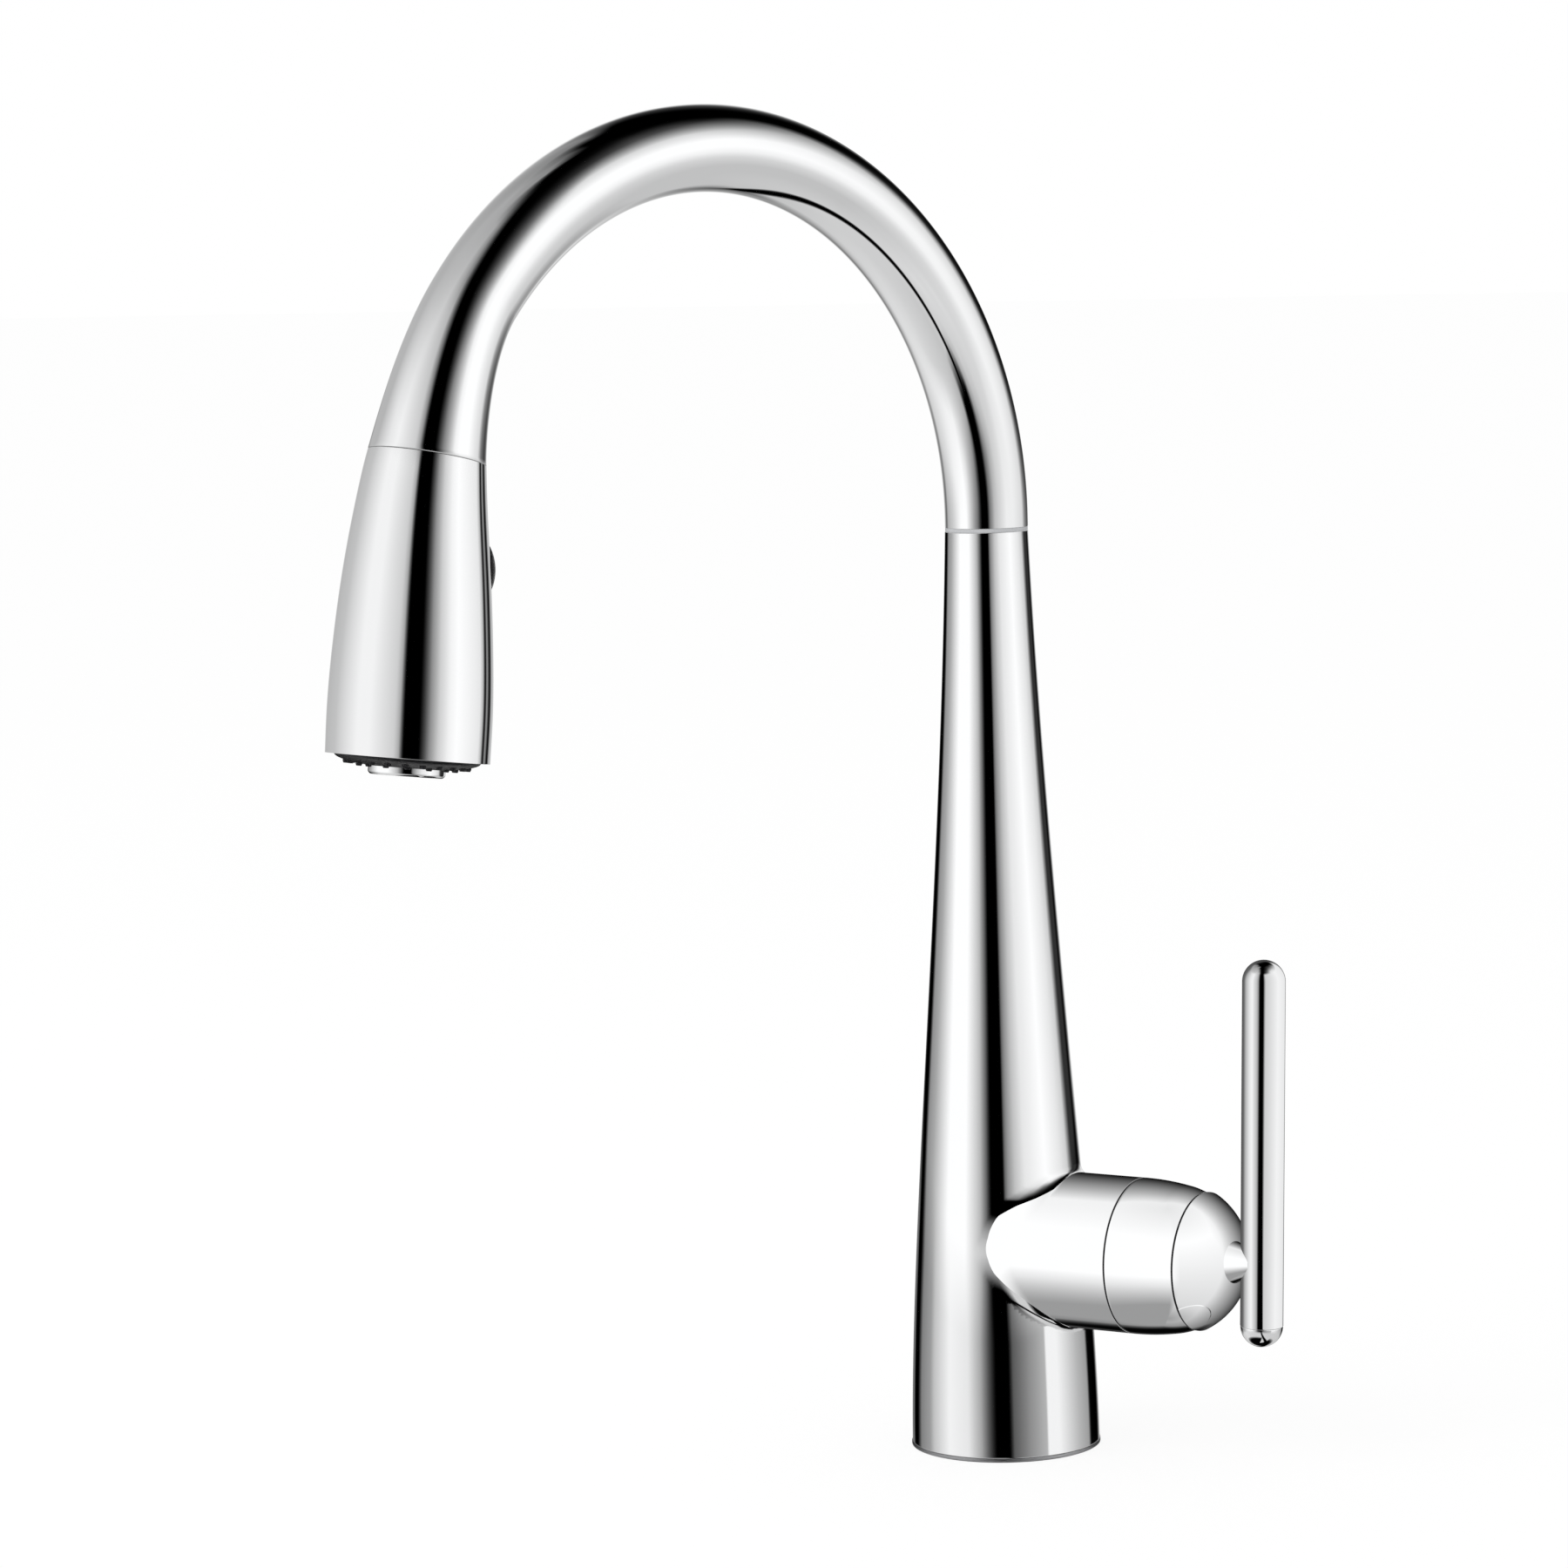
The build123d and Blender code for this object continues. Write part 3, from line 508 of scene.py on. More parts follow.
class Nodes:
    """Short calls for building a node tree."""

    def __init__(self, tree: bpy.types.NodeTree) -> None:
        """Starts from an empty tree."""
        self.tree = tree
        tree.nodes.clear()

    def add(self, kind: str, values: dict | None = None, **settings: object) -> bpy.types.Node:
        """Adds a node.

        Args:
            kind: The node's type name.
            values: Input name or number to a value, or to the output socket that feeds it.
            settings: Properties of the node.

        Returns:
            The node.
        """
        node = self.tree.nodes.new(kind)
        for name, value in settings.items():
            setattr(node, name, value)
        for name, value in (values or {}).items():
            if isinstance(value, bpy.types.NodeSocket):
                self.tree.links.new(value, node.inputs[name])
            else:
                node.inputs[name].default_value = value
        return node

    def math(self, operation: str, *values: object) -> bpy.types.NodeSocket:
        """A math node's output."""
        node = self.add("ShaderNodeMath", dict(enumerate(values)), operation=operation)
        return node.outputs[0]

    def share(self, value: object, low: float, high: float) -> bpy.types.NodeSocket:
        """How far a value has come from one end of a range to the other, kept within 0 and 1.

        Args:
            value: The value.
            low: The value at which the share is 0.
            high: The value at which the share is 1.

        Returns:
            The share.
        """
        node = self.add("ShaderNodeMapRange", {"Value": value, "From Min": low, "From Max": high})
        return node.outputs[0]

    def ramp(self, factor: object, stops: Iterable[Pair],
             interpolation: str = "EASE") -> bpy.types.NodeSocket:
        """A grey ramp.

        Args:
            factor: What drives it.
            stops: Place and brightness of each stop, in order.
            interpolation: How it blends between stops.

        Returns:
            The colour output.
        """
        node = self.add("ShaderNodeValToRGB", {"Fac": factor})
        node.color_ramp.interpolation = interpolation
        stops = list(stops)
        while len(node.color_ramp.elements) < len(stops):
            node.color_ramp.elements.new(0.5)
        for element, (place, grey) in zip(node.color_ramp.elements, stops):
            element.position = place
            element.color = (grey, grey, grey, 1.0)
        return node.outputs["Color"]


def group_tree(name: str, inputs: dict[str, tuple[str, float]],
               outputs: Sequence[str]) -> bpy.types.NodeTree:
    """An empty shader node group with named sockets.

    Args:
        name: The group's name.
        inputs: Socket name to its type and default.
        outputs: Names of the float outputs.

    Returns:
        The group.
    """
    tree = bpy.data.node_groups.new(name, "ShaderNodeTree")
    for title, (kind, default) in inputs.items():
        socket = tree.interface.new_socket(title, in_out="INPUT", socket_type=kind)
        if kind == "NodeSocketFloat":
            socket.default_value = default
    for title in outputs:
        tree.interface.new_socket(title, in_out="OUTPUT", socket_type="NodeSocketFloat")
    return tree


@dataclass(frozen=True)
class GrainGroup:
    """Fine grain with broad patches of handling over it, shared by every plain finish."""

    name: str = "grain_and_handling"

    def tree(self) -> bpy.types.NodeTree:
        """Builds the group once and returns it afterwards.

        Returns:
            The group.
        """
        if self.name in bpy.data.node_groups:
            return bpy.data.node_groups[self.name]
        tree = group_tree(self.name, {
            "Vector": ("NodeSocketVector", 0.0),
            "Grain Scale": ("NodeSocketFloat", 900.0),
            "Patch Scale": ("NodeSocketFloat", 40.0),
            "Rough Low": ("NodeSocketFloat", 0.3),
            "Rough High": ("NodeSocketFloat", 0.5),
        }, ["Tone", "Roughness", "Height"])
        n = Nodes(tree)
        given = n.add("NodeGroupInput").outputs
        grain = n.add("ShaderNodeTexNoise", {
            "Vector": given["Vector"], "Scale": given["Grain Scale"], "Detail": 3.0}).outputs["Fac"]
        patch = n.add("ShaderNodeTexNoise", {
            "Vector": given["Vector"], "Scale": given["Patch Scale"], "Detail": 4.0,
            "Roughness": 0.6}).outputs["Fac"]
        mixed = n.math("MULTIPLY_ADD", grain, 0.35, n.math("MULTIPLY", patch, 0.65))
        spread = n.math("SUBTRACT", given["Rough High"], given["Rough Low"])
        rough = n.math("MULTIPLY_ADD", mixed, spread, given["Rough Low"])
        n.add("NodeGroupOutput", {"Tone": mixed, "Roughness": rough, "Height": grain})
        return tree


@dataclass(frozen=True)
class BraidGroup:
    """A diagonal weave of round strands over a UV map, with a dark tracer strand."""

    name: str = "hose_braid"

    def tree(self) -> bpy.types.NodeTree:
        """Builds the group once and returns it afterwards.

        Returns:
            The group.
        """
        if self.name in bpy.data.node_groups:
            return bpy.data.node_groups[self.name]
        tree = group_tree(self.name, {
            "Vector": ("NodeSocketVector", 0.0),
            "Strands": ("NodeSocketFloat", 16.0),
        }, ["Height", "Tracer"])
        n = Nodes(tree)
        given = n.add("NodeGroupInput").outputs
        split = n.add("ShaderNodeSeparateXYZ", {"Vector": given["Vector"]}).outputs
        round_it = n.math("MULTIPLY", split["X"], given["Strands"])
        left = n.math("ADD", round_it, split["Y"])
        right = n.math("SUBTRACT", round_it, split["Y"])
        ridges = [n.math("ABSOLUTE", n.math("SINE", n.math("MULTIPLY", way, math.pi)))
                  for way in (left, right)]
        both = n.math("ADD", n.math("FLOOR", left), n.math("FLOOR", right))
        over = n.math("PINGPONG", both, 1.0)
        height = n.add("ShaderNodeMix", {"Factor": over, "A": ridges[0], "B": ridges[1]}).outputs[0]
        step = n.math("FLOORED_MODULO", n.math("FLOOR", left), 8.0)
        tracer = n.math("MULTIPLY", n.math("LESS_THAN", step, 1.0), n.math("SUBTRACT", 1.0, over))
        n.add("NodeGroupOutput", {"Height": height, "Tracer": tracer})
        return tree


class Finish(ABC):
    """What every finish shares: a slot, a built material and a way to put it on."""

    slot: Slot
    variant: str = ""

    @abstractmethod
    def surface(self, n: Nodes) -> dict:
        """Nodes that vary over the surface.

        Args:
            n: The material's nodes.

        Returns:
            Inputs of the principled shader, by name.
        """

    @abstractmethod
    def fixed(self) -> dict:
        """Values of the principled shader that are the same all over."""

    def material(self) -> bpy.types.Material:
        """Builds the material once and returns it afterwards.

        Returns:
            The material.
        """
        name = "finish_" + (self.variant or self.slot.value)
        if name in bpy.data.materials:
            return bpy.data.materials[name]
        made = bpy.data.materials.new(name)
        made.use_nodes = True
        n = Nodes(made.node_tree)
        shader = n.add("ShaderNodeBsdfPrincipled", {**self.fixed(), **self.surface(n)})
        n.add("ShaderNodeOutputMaterial", {"Surface": shader.outputs[0]})
        return made

    def dress(self, piece: bpy.types.Object) -> None:
        """Puts the finish on a piece."""
        piece.data.materials.clear()
        piece.data.materials.append(self.material())


@dataclass(frozen=True)
class PlainFinish(Finish):
    """A metal, plastic, rubber or ceramic with grain, handling patches and faint relief."""

    slot: Slot
    light: Colour
    dark: Colour
    rough: Pair = (0.35, 0.5)
    metallic: float = 0.0
    grain_scale: float = 1500.0
    patch_scale: float = 45.0
    relief: float = 0.00002
    specular: float = 0.5
    coat: float = 0.0
    variant: str = ""

    def fixed(self) -> dict:
        """Metal, specular level and coat."""
        return {"Metallic": self.metallic, "Specular IOR Level": self.specular,
                "Coat Weight": self.coat, "Coat Roughness": 0.1}

    def surface(self, n: Nodes) -> dict:
        """Colour, roughness and relief from the grain group.

        Args:
            n: The material's nodes.

        Returns:
            Inputs of the principled shader, by name.
        """
        place = n.add("ShaderNodeTexCoord").outputs["Object"]
        grain = n.add("ShaderNodeGroup", node_tree=GrainGroup().tree())
        n.tree.links.new(place, grain.inputs["Vector"])
        for title, value in (("Grain Scale", self.grain_scale), ("Patch Scale", self.patch_scale),
                             ("Rough Low", self.rough[0]), ("Rough High", self.rough[1])):
            grain.inputs[title].default_value = value
        mix = n.add("ShaderNodeMix", {"Factor": grain.outputs["Tone"]}, data_type="RGBA")
        colours = [s for s in mix.inputs if s.type == "RGBA"]
        colours[0].default_value = (*self.dark, 1.0)
        colours[1].default_value = (*self.light, 1.0)
        colour = [s for s in mix.outputs if s.type == "RGBA"][0]
        bump = n.add("ShaderNodeBump", {"Strength": 1.0, "Distance": self.relief,
                                        "Height": grain.outputs["Height"]})
        return {"Base Color": colour, "Roughness": grain.outputs["Roughness"],
                "Normal": bump.outputs["Normal"]}


@dataclass(frozen=True)
class BraidFinish(Finish):
    """The woven nylon jacket of the pull-out hose."""

    slot: Slot = Slot.BRAID
    strand: Colour = (0.36, 0.37, 0.39)
    # The weave's darkest colour, where the strands meet: painted shade.
    gap_shade: Colour = (0.05, 0.05, 0.055)
    tracer: Colour = (0.03, 0.03, 0.035)
    strands: float = 16.0
    relief: float = 0.0004

    def fixed(self) -> dict:
        """A faint sheen on the nylon."""
        return {"Metallic": 0.0, "Roughness": 0.5, "Sheen Weight": 0.2}

    def surface(self, n: Nodes) -> dict:
        """Colour and relief of the weave, read from the piece's own UV map. The colour darkens from each
        strand's middle to its edges, where strands meet, as painted shade.

        Args:
            n: The material's nodes.

        Returns:
            Inputs of the principled shader, by name.
        """
        uv = n.add("ShaderNodeTexCoord").outputs["UV"]
        braid = n.add("ShaderNodeGroup", node_tree=BraidGroup().tree())
        n.tree.links.new(uv, braid.inputs["Vector"])
        braid.inputs["Strands"].default_value = self.strands
        # Painted shade: the weave darkens from each strand's middle to its edges, by the strands' height.
        lit = self.blend(n, braid.outputs["Height"], self.gap_shade, self.strand)
        colour = self.blend(n, braid.outputs["Tracer"], lit, self.tracer)
        bump = n.add("ShaderNodeBump", {"Strength": 0.6, "Distance": self.relief,
                                        "Height": braid.outputs["Height"]})
        return {"Base Color": colour, "Normal": bump.outputs["Normal"]}

    @staticmethod
    def blend(n: Nodes, factor: bpy.types.NodeSocket, first: object,
              second: object) -> bpy.types.NodeSocket:
        """A mix of two colours.

        Args:
            n: The material's nodes.
            factor: Share of the second colour.
            first: A colour, or the socket that gives it.
            second: The other colour, or its socket.

        Returns:
            The mixed colour.
        """
        mix = n.add("ShaderNodeMix", {"Factor": factor}, data_type="RGBA")
        colours = [s for s in mix.inputs if s.type == "RGBA"]
        for socket, value in zip(colours, (first, second)):
            if isinstance(value, bpy.types.NodeSocket):
                n.tree.links.new(value, socket)
            else:
                socket.default_value = (*value, 1.0)
        return [s for s in mix.outputs if s.type == "RGBA"][0]


CHROME = PlainFinish(Slot.CHROME, (0.955, 0.958, 0.962), (0.925, 0.93, 0.936), (0.02, 0.055), 1.0,
                     2600.0, 28.0, 0.0)
SATIN = PlainFinish(Slot.CHROME, (0.42, 0.42, 0.43), (0.34, 0.34, 0.35), (0.3, 0.4), 1.0, 2200.0, 60.0,
                    0.00001, variant="satin_chrome")
BRASS = PlainFinish(Slot.BRASS, (0.83, 0.66, 0.36), (0.66, 0.5, 0.24), (0.22, 0.4), 1.0, 1800.0,
                    60.0, 0.00001)
COPPER = PlainFinish(Slot.COPPER, (0.8, 0.46, 0.3), (0.58, 0.31, 0.19), (0.25, 0.45), 1.0, 1400.0,
                     50.0, 0.00001)
STEEL = PlainFinish(Slot.STEEL, (0.68, 0.68, 0.69), (0.52, 0.52, 0.53), (0.25, 0.42), 1.0, 2400.0,
                    70.0, 0.00001)
RUBBER = PlainFinish(Slot.RUBBER, (0.05, 0.05, 0.052), (0.025, 0.025, 0.026), (0.6, 0.8), 0.0,
                     1600.0, 80.0, 0.00006)
ACETAL = PlainFinish(Slot.ACETAL, (0.62, 0.63, 0.645), (0.56, 0.57, 0.585), (0.3, 0.42))
VALVE_PLASTIC = PlainFinish(Slot.VALVE_PLASTIC, (0.88, 0.87, 0.83), (0.8, 0.79, 0.75), (0.35, 0.5))
ALUMINA = PlainFinish(Slot.ALUMINA, (0.94, 0.92, 0.88), (0.88, 0.86, 0.82), (0.12, 0.22), 0.0,
                      2000.0, 60.0, 0.00001)
BLACK_PLASTIC = PlainFinish(Slot.BLACK_PLASTIC, (0.014, 0.014, 0.015), (0.008, 0.008, 0.009),
                            (0.28, 0.42), 0.0, 2200.0, 60.0, 0.00002, 0.15)
SILICONE = PlainFinish(Slot.SILICONE, (0.02, 0.02, 0.022), (0.012, 0.012, 0.013), (0.45, 0.6), 0.0,
                       1500.0, 45.0, 0.00002, 0.15)
WATERWAY = PlainFinish(Slot.WATERWAY, (0.3, 0.31, 0.32), (0.24, 0.25, 0.26), (0.4, 0.55))
BRAID = BraidFinish()


# ---------------------------------------------------------------- sub-assemblies


def hand_over(piece: bpy.types.Object, body: Body, finish: Finish, *nodes: str) -> None:
    """Dresses a finished piece, ties it to its body and reports it.

    Args:
        piece: The piece, in place.
        body: The body that it rides on.
        finish: Its finish.
        nodes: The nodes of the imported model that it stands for.
    """
    finish.dress(piece)
    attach(piece, body.value)
    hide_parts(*nodes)
    log.info("%s: %d faces on %s", piece.name, len(piece.data.polygons), body.value)


def add_piece(bm: bmesh.types.BMesh, name: str, body: Body, finish: Finish, *nodes: str) -> None:
    """Makes a smooth piece straight from its mesh and hands it over.

    Args:
        bm: The mesh, in mm, which is freed.
        name: The piece's name.
        body: The body that it rides on.
        finish: Its finish.
        nodes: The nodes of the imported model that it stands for.
    """
    piece = to_object(bm, name)
    smooth(piece)
    hand_over(piece, body, finish, *nodes)


def add_between(bm: bmesh.types.BMesh, name: str, bodies: tuple[Body, Body],
                stretch: Iterable[Vector], finish: Finish, node: str) -> None:
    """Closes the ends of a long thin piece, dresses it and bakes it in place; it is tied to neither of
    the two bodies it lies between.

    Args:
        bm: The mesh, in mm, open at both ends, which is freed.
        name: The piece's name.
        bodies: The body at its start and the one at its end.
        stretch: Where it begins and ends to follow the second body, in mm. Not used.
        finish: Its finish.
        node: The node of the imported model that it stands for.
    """
    bmesh.ops.holes_fill(bm, edges=[e for e in bm.edges if e.is_boundary], sides=0)
    bmesh.ops.recalc_face_normals(bm, faces=bm.faces)
    piece = to_object(bm, name)
    smooth(piece)
    finish.dress(piece)
    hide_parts(node)
    (first, second), (begin, end) = bodies, (point * MM for point in stretch)
    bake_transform(piece)
    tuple(begin)
    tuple(end)
    log.info("%s: %d faces, between %s and %s", name, len(piece.data.polygons), first.value, second.value)


@dataclass
class Column:
    """The tapered body with its side hub, and the trim and swivel rings at its ends."""

    ring_r: float = 27.25
    ring_t: float = 1.2
    outline: Bezier = Bezier(((27.05, 0.0), (26.42, 64.0), (15.24, 161.46), (11.85, 263.7)))
    top_z: float = 263.7
    top_r: float = 11.85
    hub_z: float = 58.2
    hub_r: float = 22.15
    hub_end_x: float = 45.1
    fillet: tuple[Pair, ...] = (
        (-85, 1.2), (-60, 1.9), (-40, 2.4), (-15, 2.0), (15, 2.0), (40, 4.0), (60, 3.4), (85, 1.4))
    parting: tuple[Pair, ...] = (
        (-80, 86), (-60, 85), (-50, 78), (-40, 70), (-30, 58), (-20, 40), (-10, 28), (0, 26), (15, 16),
        (30, 14), (40, 34), (50, 58), (60, 78), (80, 84))
    voxel: float = 0.9
    spare: float = 4.0
    drawn_spare: float = 3.2
    draws: int = 6
    inner_x: float = 12.0
    seam: float = 0.3
    hub_edge: float = 0.06
    swivel_t: float = 1.2
    swivel_bore_r: float = 8.95
    swivel_recess: float = 0.12
    shank_r: float = 16.7
    table: np.ndarray = field(init=False)

    def __post_init__(self) -> None:
        """Tabulates the outline, a little past both ends, by height."""
        self.table = np.array([self.outline.at(t) for t in np.linspace(0, 1, 3000)])

    def radius_at(self, z: np.ndarray) -> tuple[np.ndarray, np.ndarray]:
        """Radius of the column and how fast it changes with height.

        Args:
            z: Heights in mm.

        Returns:
            The radii in mm and their slopes.
        """
        r, h = self.table[:, 0], self.table[:, 1]
        slope = np.gradient(r, h)
        inside = np.interp(z, h, r)
        past = np.minimum(z - h[0], 0) * slope[0] + np.maximum(z - h[-1], 0) * slope[-1]
        return inside + past, np.interp(z, h, slope)

    def column_side(self, p: np.ndarray) -> tuple[np.ndarray, np.ndarray]:
        """Distance outside the bare column, and the direction straight out of it.

        Args:
            p: Points in mm.

        Returns:
            Signed distances and unit directions.
        """
        axial = np.hypot(p[:, 0], p[:, 1]) + 1e-9
        radius, slope = self.radius_at(p[:, 2])
        lean = np.sqrt(1 + slope ** 2)
        out = np.stack([p[:, 0] / axial, p[:, 1] / axial, -slope], 1) / lean[:, None]
        return (axial - radius) / lean, out

    def hub_side(self, p: np.ndarray) -> tuple[np.ndarray, np.ndarray]:
        """Distance outside the bare hub, and the direction straight out of it.

        Args:
            p: Points in mm.

        Returns:
            Signed distances, large behind the column, and unit directions.
        """
        up = p[:, 2] - self.hub_z
        reach = np.hypot(p[:, 1], up) + 1e-9
        out = np.stack([np.zeros_like(up), p[:, 1] / reach, up / reach], 1)
        return np.where(p[:, 0] < 0, 1e3, reach - self.hub_r), out

    def up_hub(self, p: np.ndarray, table: Iterable[Pair]) -> np.ndarray:
        """Reads a table by how far up the hub's side a point is.

        Args:
            p: Points in mm.
            table: Degrees up the side, each with its value.

        Returns:
            The value for each point.
        """
        up = p[:, 2] - self.hub_z
        angles, values = zip(*table)
        return np.interp(np.degrees(np.arctan2(up, np.abs(p[:, 1]) + 1e-9)), angles, values)

    def form(self, p: np.ndarray) -> tuple[np.ndarray, np.ndarray]:
        """Distance outside the filleted form, and the direction straight out of it.

        Args:
            p: Points in mm.

        Returns:
            Signed distances and unit directions.
        """
        column, column_out = self.column_side(p)
        hub, hub_out = self.hub_side(p)
        fillet = self.up_hub(p, self.fillet)
        near = np.stack([fillet - column, fillet - hub], 1).clip(0)
        depth = np.linalg.norm(near, axis=1)
        distance = np.maximum(fillet, np.minimum(column, hub)) - depth
        nearest = np.where((column < hub)[:, None], column_out, hub_out)
        share = near / np.maximum(depth, 1e-9)[:, None]
        mixed = share[:, :1] * column_out + share[:, 1:] * hub_out
        in_fillet = (near > 0).all(1)[:, None]
        out = np.where(in_fillet, mixed, nearest)
        return distance, out / np.linalg.norm(out, axis=1)[:, None]

    def skins(self) -> tuple[bpy.types.Object, bpy.types.Object]:
        """One even mesh drawn onto the filleted form and parted in it.

        Returns:
            The column and its hub.
        """
        heights = np.linspace(-self.spare, self.top_z + self.spare, 120)
        radii = self.radius_at(heights)[0]
        rough = turned([(0.0, heights[0]), *zip(radii, heights), (0.0, heights[-1])])
        hub_end = self.hub_end_x + self.spare
        hub = turned([(0.0, 0.0), (self.hub_r, 0.0), (self.hub_r, hub_end), (0.0, hub_end)],
                     self.hub_frame())
        extra = bpy.data.meshes.new("hub")
        hub.to_mesh(extra)
        hub.free()
        rough.from_mesh(extra)
        bpy.data.meshes.remove(extra)
        piece = to_object(rough, "column_skin")
        remesh = piece.modifiers.new("even", "REMESH")
        remesh.mode = "VOXEL"
        remesh.voxel_size = self.voxel * MM
        applied(piece)
        self.draw_on(piece)
        bm = bmesh.new()
        bm.from_mesh(piece.data)
        bmesh.ops.transform(bm, matrix=Matrix.Scale(1 / MM, 4), verts=bm.verts)
        bpy.data.objects.remove(piece)
        hub = self.part(bm)
        self.end(bm, Vector((0, 0, self.ring_t)), Vector((0, 0, -1)))
        self.end(bm, Vector((0, 0, self.top_z)), Vector((0, 0, 1)))
        hub_end = Vector((self.hub_end_x - self.seam, 0, self.hub_z))
        self.end(hub, hub_end, Vector((1, 0, 0)), self.hub_edge)
        return to_object(bm, "column_body"), to_object(hub, "column_hub")

    def part(self, bm: bmesh.types.BMesh) -> bmesh.types.BMesh:
        """Parts the hub from the column along the fillet, and closes both.

        Args:
            bm: The whole skin, in mm. It keeps the column.

        Returns:
            The hub's mesh.
        """
        def lead(verts: Sequence[bmesh.types.BMVert]) -> np.ndarray:
            """How far each corner lies towards the hub from the parting line.

            Args:
                verts: The corners.

            Returns:
                Distances in mm, below 0 on the column's side.
            """
            p = np.array([v.co for v in verts])
            turned_in = np.radians(self.up_hub(p, self.parting))
            shift = self.up_hub(p, self.fillet) * (np.cos(turned_in) - np.sin(turned_in))
            return self.column_side(p)[0] - self.hub_side(p)[0] + shift

        bm.verts.ensure_lookup_table()
        leads = dict(zip(bm.verts, lead(bm.verts)))
        crossing = [e for e in bm.edges if leads[e.verts[0]] * leads[e.verts[1]] < 0]
        line = []
        for edge in crossing:
            start, end = edge.verts
            share = leads[start] / (leads[start] - leads[end])
            line.append(bmesh.utils.edge_split(edge, start, float(share))[1])
        bmesh.ops.connect_verts(bm, verts=line)
        in_hub = [sum(leads.get(v, 0.0) for v in f.verts) > 0 for f in bm.faces]
        hub = bm.copy()
        for mesh, drop in ((bm, in_hub), (hub, [not side for side in in_hub])):
            gone = [f for f, out in zip(mesh.faces, drop) if out]
            bmesh.ops.delete(mesh, geom=gone, context="FACES")
            rim = [e for e in mesh.edges if e.is_boundary]
            made = bmesh.ops.extrude_edge_only(mesh, edges=rim)["geom"]
            inner = [g for g in made if isinstance(g, bmesh.types.BMVert)]
            bmesh.ops.pointmerge(mesh, verts=inner, merge_co=Vector((self.inner_x, 0, self.hub_z)))
            bmesh.ops.recalc_face_normals(mesh, faces=mesh.faces)
        return hub

    def draw_on(self, piece: bpy.types.Object) -> None:
        """Moves every vertex onto the form, except those past its ends.

        Args:
            piece: The even skin.
        """
        mesh = piece.data
        flat = np.empty(len(mesh.vertices) * 3)
        mesh.vertices.foreach_get("co", flat)
        p = flat.reshape(-1, 3) / MM
        spare = self.drawn_spare
        skin = (p[:, 2] > -spare) & (p[:, 2] < self.top_z + spare) & (p[:, 0] < self.hub_end_x + spare)
        for _ in range(self.draws):
            distance, out = self.form(p)
            p[skin] -= out[skin] * distance[skin, None]
        mesh.vertices.foreach_set("co", (p * MM).ravel())
        mesh.update()

    @staticmethod
    def end(bm: bmesh.types.BMesh, point: Vector, outward: Vector, edge: float = 0.12) -> None:
        """Cuts the skin just short of an end, rounds the edge and closes it.

        Args:
            bm: The skin, in mm.
            point: Centre of the end.
            outward: The way the end faces.
            edge: Size of the rounding, in mm.
        """
        rim = cut_away(bm, point - outward * edge, outward)
        for inset, rise in ((0.3, 0.7), (1.0, 1.0)):
            made = bmesh.ops.extrude_edge_only(bm, edges=rim)["geom"]
            verts = [g for g in made if isinstance(g, bmesh.types.BMVert)]
            rim = [g for g in made if isinstance(g, bmesh.types.BMEdge)]
            level = point - outward * edge * (1 - rise)
            for v in verts:
                radial = v.co - point
                radial -= outward * radial.dot(outward)
                v.co = level + radial * (1 - edge * inset / radial.length * 0.75)
        bmesh.ops.contextual_create(bm, geom=rim)
        bmesh.ops.recalc_face_normals(bm, faces=bm.faces)

    def hub_frame(self) -> Matrix:
        """The hub's frame, with its Z along +X."""
        return Matrix.Translation((0, 0, self.hub_z)) @ Matrix.Rotation(math.pi / 2, 4, "Y")

    def make(self) -> None:
        """Builds and dresses the body, its hub and its two rings."""
        for piece in self.skins():
            smooth(piece)
            true_normals(piece, lambda p: self.form(p)[1])
            hand_over(piece, Body.ROOT, CHROME, "body_column")
        ring_top = self.ring_t - 0.05
        ring = turned([(self.shank_r, 0.0), (self.ring_r, 0.0), (self.ring_r, ring_top),
                       (self.shank_r, ring_top)])
        soften(ring, 0.3, 3)
        add_piece(ring, "foot_trim_ring", Body.ROOT, SATIN, "trim_ring")
        low, high = self.top_z + 0.03, self.top_z + self.swivel_t
        outer = self.top_r - self.swivel_recess
        swivel = turned([(self.swivel_bore_r, low), (outer, low), (outer, high),
                         (self.swivel_bore_r, high)])
        soften(swivel, 0.15, 2)
        add_piece(swivel, "spout_swivel_ring", Body.ROOT, ACETAL, "swivel_ring")


